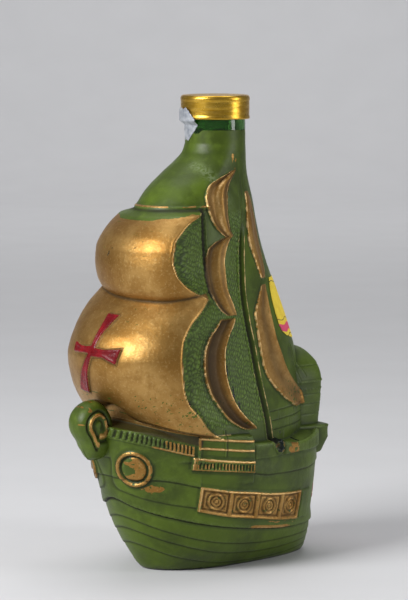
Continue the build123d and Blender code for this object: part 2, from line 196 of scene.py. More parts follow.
# each sail is there in front of its leech, above its foot and below its head
xs, ys = at(Rf)
mf = sstep(0.0, 1.3, curve(LEECH_F, ZF) - xs) * sstep(-0.3, 1.1, ZF - curve(FOOT_F, xs))
mf *= 1 - sstep(133.0, 135.0, ZF - lift * sstep(106, 126, ZF))
xs, ys = at(Rt)
zt = ZF - lift * (1 - sstep(136, 152, ZF)) - 1.6 * (fwd**1.5) * sstep(150, 168, ZF)
mt = sstep(0.0, 1.3, curve(LEECH_T, ZF) - xs) * sstep(118, 124.0, zt) * (1 - sstep(169.0, 172.6, zt))
# hollow of the recess behind each leech
R = Rc.copy()
RECESS_END = [(64, -12), (72, -20), (78, -26), (84, -30), (96, -33.6), (104, -32.6), (113, -28.6), (121, -20), (126, -20.5), (131, -22.5),
              (140, -23.6), (160, -23.8), (174, -24)]
qa = np.abs(np.arctan2(np.sin(th), np.cos(th)))
for sgn in (1, -1):
    cols = np.where(np.sin(th) * sgn > 0)[0]
    for i, z_ in enumerate(zf):
        if not 66 < z_ < 172:
            continue
        xe = float(pchip([a for a, _ in RECESS_END], [b for _, b in RECESS_END], np.array(z_)))
        for Rs, tabl, lo, hi in ((Rf, LEECH_F, 66, 134.5), (Rt, LEECH_T, 128.5, 172)):
            if not lo < z_ < hi:
                continue
            xl_ = float(curve(tabl, np.array(z_)))
            px_, py_ = Rs[i, cols] * np.cos(th[cols]), Rs[i, cols] * np.abs(np.sin(th[cols]))
            k_ = np.argmin(np.abs(px_ - xl_) + 100 * (py_ < 8))
            cx_, cy_ = Rc[i, cols] * np.cos(th[cols]), Rc[i, cols] * np.abs(np.sin(th[cols]))
            m_ = np.argmin(np.abs(cx_ - xe))
            ax_, ay_, bx_, by_ = px_[k_], py_[k_] - 2.0, cx_[m_], cy_[m_]
            if bx_ - ax_ < 1.0 or ay_ <= by_ - 6:
                continue
            nx_, ny_ = -(by_ - ay_), bx_ - ax_
            d_ = nx_ * ax_ + ny_ * ay_
            den_ = nx_ * np.cos(th[cols]) + ny_ * np.abs(np.sin(th[cols]))
            r_ = d_ / np.where(np.abs(den_) < 1e-6, 1e-6, den_)
            xr_ = r_ * np.cos(th[cols])
            edge = sstep(lo, lo + 3, z_) * (1 - sstep(hi - 2.0, hi, z_))
            ok_ = (xr_ > ax_ - 0.6) & (xr_ < bx_) & (r_ > 0) & (r_ < 90)
            R[i, cols] = np.where(ok_, np.maximum(R[i, cols], Rc[i, cols] + edge * np.maximum(r_ - Rc[i, cols], 0)), R[i, cols])
recess = R.copy()
R = np.maximum(R, recess + mf * np.maximum(Rf - recess, 0))
R = np.maximum(R, recess + mt * np.maximum(Rt - recess, 0))
# hull up to its sheer
xs, ys = at(Rh)
mh = 1 - sstep(-0.25, 0.55, ZF - curve(SHEER, xs))
base = np.where(ZF < 56, 0, R)
R = np.where(ZF < 56, Rh, np.maximum(R, np.where(mh > 0, base + mh * np.maximum(Rh - base, 0), 0)))
# stern castle: arched block, and the gallery under it
wc = np.where(zf < 84, 21.8, 21.8 * np.sqrt(np.clip(1 - ((zf - 84) / 17.0) ** 2.2, 0, 1)))
xc = np.interp(zf, [58, 62, 66, 74, 86, 94, 101], [50.0, 50.4, 50.8, 52.0, 52.8, 51.8, 49.0])
ok = (zf > 58) & (zf < 100.9)
with np.errstate(divide="ignore", over="ignore"):
    n = 12.0
    Rk = (np.abs(np.cos(TH) / xc[:, None]) ** n + np.abs(np.sin(TH) / np.maximum(wc, 0.3)[:, None]) ** n) ** (-1 / n)
Rk = np.where(ok[:, None] & (np.cos(TH) > 0), Rk, 0)
xg = np.interp(zf, [48.5, 50, 55.5, 57.0, 62.6, 63.6, 64.6], [0, 49.0, 53.4, 54.4, 54.4, 53.8, 0])
wg = 24.3
with np.errstate(divide="ignore", over="ignore"):
    n = 16.0
    Rg = (np.abs(np.cos(TH) / np.maximum(xg, 0.3)[:, None]) ** n + np.abs(np.sin(TH) / wg) ** n) ** (-1 / n)
Rg = np.where((np.cos(TH) > 0.02) & (ZF > 49.0) & (ZF < 64.4), Rg, 0)
R = smax(R, Rk, 0.5)
R = smax(R, Rg, 0.4)
R[zf >= 201.9] = 14.5
# soften the steps a little, like blown glass
for _ in range(2):
    R[1:-1] = 0.25 * R[:-2] + 0.5 * R[1:-1] + 0.25 * R[2:]
    R = 0.25 * np.roll(R, 1, 1) + 0.5 * R + 0.25 * np.roll(R, -1, 1)

# ------------------------------------------- resample each column by length of profile
NR = 480
seg = np.sqrt(np.diff(zf)[:, None] ** 2 + (0.8 * np.diff(R, axis=0)) ** 2)
S = np.vstack([np.zeros(NT), np.cumsum(seg, 0)])
# share one smooth row spacing round the bottle, so rows don't shear
Sn = S / S[-1]
k = np.ones(41) / 41
Sn = np.apply_along_axis(lambda a: np.convolve(np.concatenate([a[-20:], a, a[:20]]), k, "valid"), 1, Sn)
u = np.linspace(0, 1, NR)
Z = np.empty((NR, NT))
RR = np.empty((NR, NT))
for j in range(NT):
    Z[:, j] = np.interp(u, Sn[:, j], zf)
    RR[:, j] = np.interp(Z[:, j], zf, R[:, j])
THg = np.broadcast_to(th, (NR, NT))
X = RR * np.cos(THg)
Y = RR * np.sin(THg)
AY = np.abs(Y)


def normals(X, Y, Z):
    P = np.stack([X, Y, Z], -1)
    du = np.roll(P, -1, 1) - np.roll(P, 1, 1)
    dv = np.empty_like(P)
    dv[1:-1] = P[2:] - P[:-2]
    dv[0] = P[1] - P[0]
    dv[-1] = P[-1] - P[-2]
    N = np.cross(du, dv)
    return N / np.maximum(np.linalg.norm(N, axis=-1, keepdims=True), 1e-9)


N = normals(X, Y, Z)
# ------------------------------------------------------------------ relief and paint
D = np.zeros((NR, NT))        # height of the relief above the smooth surface, mm
gold = np.zeros((NR, NT))     # where the gold paint lies
red = np.zeros((NR, NT))
wear_and_highlight = np.zeros((NR, NT))      # worn bright edges, and painted highlights along ridges and edge tops
dark = np.zeros((NR, NT))     # painted shade in recesses, grooves, creases, under edges and in the shaded parts of the sails
chip = np.zeros((NR, NT))     # paint gone, black-looking glass

side = sstep(4, 9, AY)
xlF = curve(LEECH_F, Z)
xlT = curve(LEECH_T, Z)
footF = curve(FOOT_F, X)
fw = np.clip((np.abs(np.arctan2(np.sin(THg), -np.cos(THg)))) / (np.pi / 2), 0, 1)
creaseZ = CREASE + pchip([a for a, _ in LIFT], [b for _, b in LIFT], np.degrees(THg) % 360)
# the crease itself is where the two sail surfaces meet
inF = sstep(-0.2, 0.5, xlF - X + 0.3) * sstep(-0.4, 0.5, Z - footF + 0.4) * (1 - sstep(0.0, 0.8, Z - creaseZ))
topgold = 167.6 + 2.8 * np.clip(np.abs((THg - np.pi) / 0.62), 0, 1) ** 2
inT = sstep(-0.2, 0.5, xlT - X + 0.3) * sstep(-0.8, 0.0, Z - creaseZ) * (1 - sstep(-0.5, 0.5, Z - topgold - 0.7 * noise2(X / 3, Z / 3, 5)))
gold = np.maximum(gold, inF)
gold = np.maximum(gold, inT)
# rims of the forward sails
rim = bumpf(X - xlF + 0.9, 1.3) * sstep(66, 69, Z) * (1 - sstep(128, 131, Z)) * (X > -56) * (X < -20)
rimT = bumpf(X - xlT + 0.9, 1.3) * sstep(131, 133, Z) * (1 - sstep(169, 171, Z)) * (X > -54) * (X < -20)
D += 0.35 * rim + 0.35 * rimT
# worn edge with a painted highlight: cream line along each leech and along the foresail's foot
wear_and_highlight = np.maximum(wear_and_highlight, 0.95 * bumpf(X - xlF + 0.45, 0.8) * (rim > 0))
wear_and_highlight = np.maximum(wear_and_highlight, 0.95 * bumpf(X - xlT + 0.45, 0.8) * (rimT > 0))
wear_and_highlight = np.maximum(wear_and_highlight, 0.55 * bumpf(Z - footF - 0.7, 0.8) * (X < -22))
# painted shade along the crease between the two forward sails
dark = np.maximum(dark, bumpf(Z - creaseZ, 1.3) * 0.55 * (X < -25))

# ------- side sails: left boundary, leech and the hollow between them
LEAF = {
    "course": dict(
        L=[(67.6, -6), (69.2, -13.3), (72, -19.5), (75.3, -24.2), (78, -26.6), (83, -30.2), (88.3, -33.1), (96.4, -34.3),
           (104, -33.3), (113.7, -28.8), (117.5, -25.2), (121.6, -20.6)],
        R=[(67.6, -4.6), (69.1, -5.7), (74, -11.7), (80.5, -17.3), (87.7, -20.3), (96.7, -21.8), (105, -20.9), (112.8, -17.3),
           (118, -13.2), (121.6, -11.0)], z=(68.2, 121.4), a=(1.5, -0.7, -1.2, 1.1)),
    "topsail": dict(
        L=[(121, -13.6), (123, -17.2), (126, -20.6), (130, -23.0), (137, -25.2), (143, -25.6), (148, -25.0), (153, -23.6), (156.5, -19.0),
           (158.6, -13.0), (160.6, -7.0)],
        R=[(121, -9.8), (127, -11.8), (136.5, -14.5), (146, -14.4), (152, -12.9), (156, -10.8), (160.6, -5.8)], z=(121.6, 159.6), a=(0.6, -0.9, 0.5, 1.2)),
    "gallant": dict(
        L=[(157.6, -9.6), (160, -14), (165, -19.4), (172, -22.3), (176.8, -22.9), (180, -21.8), (183.5, -18.7), (186, -13.4),
           (188.5, -6.5), (190.8, -0.6)],
        R=[(157.6, -5.8), (162, -8.2), (170, -9.8), (178, -9.2), (183, -6.9), (187, -3.0), (190.8, 0.8)], z=(158.2, 190.2), a=(1.2, -0.4, 1.3, -0.4)),
    "mizzen_up": dict(
        L=[(136, 12.6), (140, 10.7), (146.4, 8.2), (152, 5.6), (158.7, 3.9), (170, 3.6), (181, 4.0)],
        R=[(136, 16.6), (141.8, 16.6), (157.7, 14.0), (170, 11.4), (176, 9.4), (181, 6.6)], z=(136.8, 180.0), a=(0.9, 1.2, 0.7, 0.5)),
    "mizzen_low": dict(
        L=[(73.5, 31.5), (77, 23.5), (81, 16.5), (86.5, 9.8), (93.8, 4.2), (101, 2.5), (112.6, 1.9), (120.5, 1.8), (127, 5.6), (135.4, 11.8)],
        R=[(73.5, 38.5), (80.5, 36.5), (86, 29.4), (92.7, 23.2), (101.5, 19.2), (110, 16.2), (124.7, 14.6), (135.4, 16.0)], z=(74.2, 135.0), a=(1.1, 0.9, 0.4, 1.0)),
}
leafmask = np.zeros((NR, NT))
for name, q in LEAF.items():
    xL, xR = curve(q["L"], Z), curve(q["R"], Z)
    wob = 0.35 * noise2(X / 1.1 + 9, Z / 1.1, 21, 2)
    w = np.maximum(xR - xL, 0.5)
    t = np.clip((X - xL) / w, 0, 1)
    e1, e2 = sstep(q["z"][0] - 0.4, q["z"][0] + 1.6, Z), 1 - sstep(q["z"][1] - 1.6, q["z"][1] + 0.4, Z)
    inside = sstep(-0.35, 0.35, X - xL) * sstep(-0.35, 0.35, xR - X) * e1 * e2
    a0, a1, a2, a3 = q["a"]
    prof = pchip([0, 0.33, 0.66, 1.0], [a0, a1, a2, a3], t)
    scale = np.clip(w / 9.0, 0.35, 1.15)
    D += inside * prof * scale * side
    # painted shading across each sail, from its left edge (t=0) to its leech (t=1): stops, shade levels, highlight
    # position, highlight strength
    SAIL_SHADING = {"course": ([0, .12, .3, .55, .8, .93, 1], [0, .45, .92, .85, .35, 0, 0], 0.0, 0.0),
            "topsail": ([0, .1, .3, .48, .62, .8, 1], [.3, .75, .7, .1, 0, .5, 0], 0.60, 0.42),
            "gallant": ([0, .15, .3, .45, .58, .78, 1], [0, .5, .35, 0, 0, .65, .35], 0.50, 0.62),
            "mizzen_up": ([0, .3, .6, .8, 1], [0, 0, .25, .3, .3], 0.25, 0.35),
            "mizzen_low": ([0, .2, .5, .8, 1], [0, .15, .5, .3, 0], 0.25, 0.0)}[name]
    # painted shade in the sail's trough, then a painted highlight on its ridge
    dark = np.maximum(dark, inside * side * pchip(SAIL_SHADING[0], SAIL_SHADING[1], t))
    wear_and_highlight = np.maximum(wear_and_highlight, inside * side * SAIL_SHADING[3] * bumpf(t - SAIL_SHADING[2], 0.17) * (0.75 + 0.5 * noise2(X / 2, Z / 5, 77, 2)))
    g = sstep(-0.3, 0.3, X - xL + wob) * sstep(-0.3, 0.3, xR - X - wob) * e1 * e2 * side
    gold = np.maximum(gold, g)
    leafmask = np.maximum(leafmask, inside * side)
    # worn edges with painted highlights: ragged cream lines along each sail's left edge and leech
    ragged = np.clip(0.65 + 0.9 * noise2(X / 1.3, Z / 1.6, 33, 2), 0, 1)
    wear_and_highlight = np.maximum(wear_and_highlight, ragged * bumpf(X - xL - 0.25, 0.75) * e1 * e2 * side)
    wear_and_highlight = np.maximum(wear_and_highlight, 1.15 * ragged * bumpf(X - xR + 0.40, 0.65) * e1 * e2 * side * (0.45 if name == "mizzen_low" else 1.0))

# ------- woven, scale-like texture on the green between the sails
SH = [(56, 4.6), (67, 3.1), (77.7, 1.2), (87.7, -0.5), (97.5, -1.6), (107, -2.5), (119, -3.9), (128.7, -4.0),
      (145, -2.6), (158, -0.6), (170, 1.0), (180.2, 2.0), (190, 3.2)]
xsh = curve(SH, Z)
behindF = sstep(0.3, 1.2, X - xlF) * (Z < 128)
behindT = sstep(0.3, 1.2, X - xlT) * (Z >= 128) * (1 - sstep(168, 172, Z))
green_zone = (np.maximum(behindF, behindT)) * (1 - leafmask) * sstep(0.8, 1.6, xsh - X) * side * sstep(69.5, 72.5, Z)
Xw = X + 0.9 * noise2(X / 2.6, Z / 2.6, 301, 2)
Zw = Z + 1.3 * noise2(X / 2.2 + 7, Z / 2.2, 302, 2)
su = (Zw * 0.94 + Xw * 0.34) / 2.3
sv = (Xw * 0.94 - Zw * 0.34) / 1.25
row_ = np.floor(su)
fx = su - row_ - 0.5
fy = sv + 0.5 * (row_ % 2) + 0.25 * noise2(X / 5, Z / 5, 3, 1)
fy = fy - np.floor(fy) - 0.5
leaf_b = np.clip(1 - (fx / 0.46) ** 2 - (fy / 0.40) ** 2, 0, 1) ** 0.7
D += green_zone * (0.36 * leaf_b - 0.13)
scale_hi = green_zone * leaf_b
gold = np.maximum(gold, 0.40 * scale_hi * sstep(-26, -20, X) * (1 - sstep(112, 124, Z)) * sstep(-0.5, 0.4, noise2(X / 5, Z / 5, 311, 2)))
# groove of the foremast between topsail recess and the middle sails, with painted shade in it and a painted highlight
# on its after lip
xm_ = curve([(128, -22.6), (134, -23.8), (144, -24.6), (158, -24.6), (174, -24.9)], Z)
gm = sstep(128, 134, Z) * (1 - sstep(171.5, 173.5, Z)) * side
D -= 0.8 * bumpf(X - xm_ + 1.0, 1.9) * gm
dark = np.maximum(dark, 1.2 * bumpf(X - xm_ + 1.0, 1.9) * gm)
D += 0.4 * bumpf(X - xm_ - 0.9, 0.8) * gm
wear_and_highlight = np.maximum(wear_and_highlight, 0.35 * bumpf(X - xm_ - 0.9, 0.45) * gm)
calm = sstep(0, 1.0, X - xm_) * sstep(143, 148, Z) * (X < -10)
D -= green_zone * (0.36 * leaf_b - 0.13) * calm
scale_hi = scale_hi * (1 - calm)
green_zone = green_zone * (1 - calm)

# ------- the shroud: a deep groove with painted shade in it, a light rope at its after edge, and worn lips with painted highlights
ms = sstep(57.5, 60, Z) * (1 - 0.85 * sstep(156, 166, Z)) * (1 - sstep(186, 190, Z)) * side
gw = np.interp(Z, [60, 120, 190], [2.2, 1.9, 1.0])
D -= 1.3 * bumpf((X - xsh + 0.2) / gw, 1.0) * ms
dark = np.maximum(dark, 0.9 * bumpf((X - xsh + 0.2) / gw, 0.9) * ms)
D += 0.55 * bumpf(X - xsh - 2.0, 0.9) * ms
D += 0.45 * bumpf(X - xsh + 2.6, 0.8) * ms
wear_and_highlight = np.maximum(wear_and_highlight, (0.60 + 0.4 * noise2(X, Z / 3, 12)) * bumpf(X - xsh - 1.8, 0.5) * ms)
wear_and_highlight = np.maximum(wear_and_highlight, (0.45 + 0.4 * noise2(X, Z / 3, 13)) * bumpf(X - xsh + 2.5, 0.45) * ms)
# chain plate at its foot
bl = np.clip(1 - ((X - 5.2) / 3.0) ** 2 - ((Z - 59.5) / 3.6) ** 2, 0, 1) * side
D += 1.3 * np.sqrt(bl) * (1 + 0.4 * noise2(X / 0.9, Z / 0.9, 17, 2))
gold = np.maximum(gold, sstep(0.1, 0.4, bl) * sstep(-0.1, 0.35, noise2(X / 1.4, Z / 1.4, 18, 2)))
chip = np.maximum(chip, sstep(0.1, 0.4, bl) * sstep(0.05, 0.3, -noise2(X / 1.4, Z / 1.4, 18, 2)))
# thin ropes behind the mizzen
for xa, za, xb, zb in ((17.5, 138, 36.5, 84), (21.5, 122, 39.5, 88)):
    tt = np.clip(((X - xa) * (xb - xa) + (Z - za) * (zb - za)) / ((xb - xa) ** 2 + (zb - za) ** 2), 0, 1)
    dd = np.hypot(X - xa - tt * (xb - xa), Z - za - tt * (zb - za))
    D += 0.35 * bumpf(dd, 0.7) * side * (X > 8)
    wear_and_highlight = np.maximum(wear_and_highlight, 0.3 * bumpf(dd, 0.4) * side * (X > 8))


# ------------------------------------------------------------------------- hull
def line(pts, smooth=True):
    p = sorted(pts)
    return pchip([a for a, _ in p], [b for _, b in p], X)


hull = (Z < curve(SHEER, X) - 0.1).astype(float) * (1 - sstep(66, 72, Z) * (X > -38))
# strakes: each plank laps over the one below, with painted shade under each lap and a painted highlight on its lip
for pts, depth in (([(-66, 44.0), (-61, 36.6), (-57.8, 33.6), (-43.2, 28.0), (-20.9, 23.0), (0, 20.0), (14.5, 18.4), (41.9, 17.6), (52, 18.5)], 0.95),
                   ([(-62, 31.5), (-56.3, 27.0), (-47.1, 22.2), (-18.0, 14.4), (8, 12.2), (42, 12.6), (52, 13.5)], 0.32),
                   ([(-58, 24.0), (-54.1, 21.2), (-42.6, 15.8), (-14.0, 8.8), (10, 7.4), (42, 8.8), (52, 9.5)], 0.32),
                   ([(-54, 16.0), (-50.0, 13.4), (-37.0, 7.8), (-12.4, 3.2), (10, 2.6), (42, 4.6), (52, 5.2)], 0.28),
                   ([(-70, 52.5), (-64, 47.6), (-54.5, 48.6 - 1.2), (-38.1, 43.9), (-37.0, 43.6)], 0.40),
                   ([(-9.5, 48.3), (0, 46.8), (26.4, 46.6), (40, 48.0), (52, 49.0)], 0.40),
                   ([(-68, 57.5), (-62, 41.5), (-50, 36.2), (-37.5, 33.6)], 0.25)):
    zl = line(pts)
    lim = sstep(min(p[0] for p in pts) - 2, min(p[0] for p in pts), X) * (1 - sstep(max(p[0] for p in pts), max(p[0] for p in pts) + 0.8, X))
    dz = Z - zl
    D += depth * hull * lim * sstep(-0.25, 0.25, dz) * (1 - sstep(0.4, 7.0, dz))
    D -= 0.5 * depth * hull * lim * bumpf(dz + 0.4, 0.7)
    dark = np.maximum(dark, min(1, 1.15 * depth + 0.15) * hull * lim * bumpf(dz + 0.35, 0.75))
    if depth > 0.5:
        wear_and_highlight = np.maximum(wear_and_highlight, 0.6 * hull * bumpf(dz - 0.7, 0.6) * sstep(-12, -2, X) * (1 - sstep(12, 20, X)))
        gold = np.maximum(gold, hull * bumpf(dz - 0.8, 1.7) * sstep(-12, -4, X) * (1 - sstep(14, 24, X)) * side)
        wear_and_highlight = np.maximum(wear_and_highlight, 0.16 * hull * bumpf(dz - 0.7, 0.6))

# gunport panels
zt_ = line([(-44, 45.2), (-36.4, 43.8), (-23.1, 41.1), (-20.3, 40.6), (-7.6, 38.9), (-5, 38.4), (8.1, 36.8), (20, 36.2), (32, 36.2), (50, 37)])
zb_ = line([(-44, 33.5), (-34.6, 31.3), (-21.1, 28.1), (-5.0, 25.6), (11.7, 22.8), (24.9, 21.6), (32, 21.3), (50, 22)])
row_in = (X > -38) & (X < 36)
vv = (Z - zb_) / (zt_ - zb_)
frame_in = sstep(-0.3, 0.3, X + 36.6) * sstep(-0.3, 0.3, 22.9 - X) * sstep(-0.03, 0.03, vv) * sstep(-0.03, 0.03, 1 - vv)
D += 0.9 * frame_in * side
gold = np.maximum(gold, frame_in * side * sstep(-0.75, -0.35, noise2(X / 2.2, Z / 2.2, 41, 3)))
for x0, x1 in ((-35.2, -22.2), (-20.4, -7.4), (-5.4, 8.2), (10.2, 21.5)):
    u_ = (X - x0) / (x1 - x0)
    ww = (x1 - x0)
    dx = np.minimum(X - x0, x1 - X)
    dv_ = np.minimum(Z - zb_ - 1.2, zt_ - 1.2 - Z)
    ins = sstep(-0.3, 0.3, dx) * sstep(-0.3, 0.3, dv_) * side
    D -= 0.95 * ins
    # inner raised rail
    edge = np.minimum(dx, dv_)
    D += 0.35 * ins * bumpf(edge - 1.4, 0.7)
    zc_ = 0.5 * (zb_ + zt_)
    rr = np.hypot(X - 0.5 * (x0 + x1), (Z - zc_))
    D += ins * (0.9 * bumpf(rr - 3.5, 0.75) + 0.55 * bumpf(rr - 1.9, 0.6) + 0.8 * bumpf(rr, 1.1))
    # painted shade along the panel's inner edge and between the rosette's rings
    dark = np.maximum(dark, 0.38 * ins * np.maximum(bumpf(edge - 0.35, 0.7), np.maximum(bumpf(rr - 2.7, 0.5), bumpf(rr - 4.7, 0.8))))
    gold *= 1 - 0.55 * ins * sstep(0.0, 0.6, noise2(X / 1.7, Z / 1.7, 43, 2)) * (edge > 2.2)
    wear_and_highlight = np.maximum(wear_and_highlight, 0.45 * ins * np.maximum(bumpf(edge - 1.4, 0.4), bumpf(rr - 3.5, 0.4)))
wear_and_highlight = np.maximum(wear_and_highlight, 0.22 * ins * (edge > 1.8) * (0.6 + 0.6 * noise2(X / 1.5, Z / 1.5, 46, 2)))
# painted highlight along the frame's top and bow-side edges, and on the panels' raised rails
wear_and_highlight = np.maximum(wear_and_highlight, 0.75 * frame_in * side * np.maximum(bumpf((1 - vv) * 13 - 0.5, 0.6), bumpf(X + 35.9, 0.6)))
# the blank port after the last one
dx = np.minimum(X - 24.4, 32.0 - X)
dv_ = np.minimum(Z - zb_ - 0.4, zt_ - 0.6 - Z)
pl = sstep(-0.3, 0.3, dx) * sstep(-0.3, 0.3, dv_) * side
D += 0.55 * pl
# gold rub under the panels
gold = np.maximum(gold, 0.8 * bumpf(Z - zb_ + 1.2, 1.1) * sstep(-10, 0, X) * (1 - sstep(20, 26, X)) * side * sstep(-0.1, 0.4, noise2(X / 4, Z, 44, 2)))

# hawse ring near the bow
ringc = np.array([-62.0, 16.4, 52.4])
dist = np.sqrt((X - ringc[0]) ** 2 + (AY - ringc[1]) ** 2 + (Z - ringc[2]) ** 2)
ring = sstep(7.0, 7.5, dist) * (1 - sstep(8.7, 9.2, dist))
D += 1.15 * ring
D += 0.55 * (1 - sstep(5.4, 6.2, dist))
D -= 0.4 * bumpf(dist - 6.7, 0.8)
tilt = (X - ringc[0]) / 9.0
gold = np.maximum(gold, ring * sstep(-0.55, -0.05, noise2(X / 2.4, Z / 2.4 + 3, 51, 3) + 0.5))
gold = np.maximum(gold, (1 - sstep(5.8, 6.3, dist)) * sstep(-0.35, 0.1, tilt + 0.7 * noise2(X / 2.2, Z / 2.2, 52, 3) + 0.12))
# painted shade in the groove round the ring, and a painted shadow below it
dark = np.maximum(dark, 0.6 * bumpf(dist - 6.7, 0.7))
dark = np.maximum(dark, 0.45 * bumpf(dist - 9.6, 0.8) * (Z < 56))
wear_and_highlight = np.maximum(wear_and_highlight, 0.55 * bumpf(dist - 8.1, 0.6) * sstep(-0.3, 0.3, noise2(X / 3, Z / 3, 54, 2) + 0.2))
spl = np.exp(-(((X + 54.5) / 3.2) ** 2 + ((Z - 42.8) / 1.7) ** 2))
gold = np.maximum(gold, sstep(0.25, 0.5, spl + 0.3 * noise2(X / 1.5, Z / 1.5, 53, 2)) * side)

# fore rail with its dentils
rb = line([(-74, 69.0), (-64.3, 66.2), (-54.8, 63.4), (-43.8, 60.2), (-39, 59.0)])
mr = sstep(-73, -71, X) * (1 - sstep(-41.2, -40.6, X))
q_ = (Z - rb) / 3.9
band = sstep(-0.06, 0.06, q_) * sstep(-0.06, 0.06, 1.0 - q_) * mr
arc = X * 1.35
den = np.abs(((arc / 2.15) % 1) - 0.5) * 2
D += 0.75 * band * sstep(0.30, 0.55, den)
D += 0.55 * mr * bumpf(Z - rb + 0.5, 0.8) * 1.0
# painted shade in the gaps between the dentils
dark = np.maximum(dark, 0.62 * band * (1 - sstep(0.25, 0.5, den)))
gold = np.maximum(gold, band * sstep(0.35, 0.6, den) * sstep(-56, -50, X + 3 * noise2(X / 4, Z / 4, 61, 1)))
gold = np.maximum(gold, mr * bumpf(Z - rb + 0.5, 0.9) * sstep(-60, -56, X))
wear_and_highlight = np.maximum(wear_and_highlight, 0.7 * mr * bumpf(Z - rb + 0.3, 0.6) * sstep(-58, -54, X))
wear_and_highlight = np.maximum(wear_and_highlight, 0.45 * band * sstep(0.5, 0.75, den) * sstep(-66, -50, X) * bumpf(q_ - 0.7, 0.35))
# painted shadow: a dark red-brown band between the sail's foot and the rail, under the sail's overhang
ww_ = sstep(0.2, 0.9, Z - (rb + 4.1)) * sstep(0.1, 1.1, footF + 0.2 - Z) * (X < -37)
sail_shadow_band = ww_
dark = np.maximum(dark, 0.25 * ww_)

# waist: two light battens, a post and the box rail
mw = sstep(-39.4, -38.6, X) * (1 - sstep(-10.9, -10.3, X)) * side
for pts, hgt in (([(-40, 67.0), (-31.9, 66.0), (-13.6, 63.9), (-8, 63.4)], 0.55), ([(-40, 62.4), (-37.4, 62.2), (-13.8, 59.4), (-8, 59.0)], 0.55)):
    zl = line(pts)
    D += hgt * bumpf(Z - zl, 0.75) * mw
    gold = np.maximum(gold, mw * bumpf(Z - zl, 1.1))
    wear_and_highlight = np.maximum(wear_and_highlight, 0.9 * mw * bumpf(Z - zl, 0.55))
D += 0.45 * bumpf(X + 25.9, 0.6) * mw * sstep(57, 58, Z) * (Z < 70)
# painted shadow beside the post
dark = np.maximum(dark, 0.8 * bumpf(X + 25.0, 0.5) * mw * sstep(57, 58, Z) * (Z < 70))
D += 1.0 * bumpf(X + 38.6, 0.9) * side * sstep(57, 58, Z) * (1 - sstep(67, 68, Z))
gold = np.maximum(gold, bumpf(X + 38.4, 1.3) * side * sstep(61, 62, Z) * (1 - sstep(67.4, 68, Z)))
bt = line([(-44, 58.8), (-41.5, 58.4), (-11.3, 54.5), (-8, 54.3)])
bb = line([(-44, 52.5), (-41.1, 52.2), (-11.0, 48.9), (-8, 48.6)])
bx = sstep(-0.25, 0.25, X + 41.4) * sstep(-0.25, 0.25, -10.6 - X) * sstep(-0.25, 0.25, bt - Z) * sstep(-0.25, 0.25, Z - bb) * side
D += 1.5 * bx
den = np.abs(((X / 1.62) % 1) - 0.5) * 2
dl = bx * sstep(0.4, 0.8, bt - 1.0 - Z) * sstep(0.3, 0.7, Z - bb - 0.5) * sstep(-39.6, -39.0, X)
D -= 0.55 * dl * (1 - sstep(0.35, 0.6, den))
# painted shade in the gaps between the box rail's dentils
dark = np.maximum(dark, 0.7 * dl * (1 - sstep(0.3, 0.55, den)))
gold = np.maximum(gold, bx * np.maximum(np.maximum(bumpf(Z - bt + 0.5, 1.1), bumpf(Z - bb - 0.3, 0.7)), np.maximum(0.85 * dl * sstep(0.45, 0.7, den) * sstep(-0.5, 0.3, noise2(X / 2, Z / 2, 66, 2)), bumpf(X + 40.4, 1.6))))
# worn edges with a painted highlight along the box rail's top and bow-side edge
wear_and_highlight = np.maximum(wear_and_highlight, bx * np.maximum(0.9 * bumpf(Z - bt + 0.4, 0.55), 0.7 * bumpf(X + 40.9, 0.6)))
# vertical step of the bulwark amidships
D += 0.7 * side * sstep(-0.3, 0.3, -10.2 - X) * (1 - sstep(0, 14, -10.2 - X)) * sstep(43, 45, Z) * (Z < 66)

# box rail of the quarter
ct = line([(-9, 62.2), (1.2, 61.6), (18.7, 59.8), (36.8, 61.6), (50, 62.0)])
cb = line([(-9, 55.0), (-2.9, 54.9), (12.8, 55.6), (37.5, 55.2), (50, 56.0)])
cq = sstep(-0.3, 0.3, X + 9.6) * (1 - sstep(44.5, 46, X)) * sstep(-0.25, 0.25, ct - Z) * sstep(-0.25, 0.25, Z - cb) * side
D += 1.3 * cq * sstep(7.5, 9, X) + 0.4 * cq * (1 - sstep(7.5, 9, X))
wear_and_highlight = np.maximum(wear_and_highlight, 0.35 * cq * bumpf(Z - ct + 0.4, 0.5) * sstep(-0.2, 0.4, noise2(X / 3, Z, 67, 2)))
gold = np.maximum(gold, 0.8 * cq * sstep(9, 11, X) * (1 - sstep(17, 19, X)) * sstep(0.0, 0.4, noise2(X / 2.3, Z / 2.3, 68, 2) + 0.25))
den = np.abs(((X / 1.5) % 1) - 0.5) * 2
D -= 0.25 * cq * sstep(24, 26, X) * (1 - sstep(0.3, 0.6, den)) * sstep(0.5, 1.0, ct - Z) * sstep(0.5, 1.0, Z - cb)
# poop side planks
for zl, x0 in ((75.2, 4), (70.8, 5), (66.4, 6)):
    D -= 0.4 * bumpf(Z - zl - 0.02 * X, 0.5) * sstep(x0, x0 + 2, X) * (1 - sstep(34, 38, X)) * side
    # painted shade in the plank grooves
    dark = np.maximum(dark, 0.5 * bumpf(Z - zl - 0.02 * X, 0.5) * sstep(x0, x0 + 2, X) * (1 - sstep(34, 38, X)) * side)
for xv, za, zb in ((15, 62, 66), (21, 66, 70.5), (12, 70.5, 75), (29, 62, 66), (26, 70.5, 75)):
    D -= 0.3 * bumpf(X - xv, 0.4) * sstep(za, za + .5, Z) * (1 - sstep(zb - .5, zb, Z)) * side

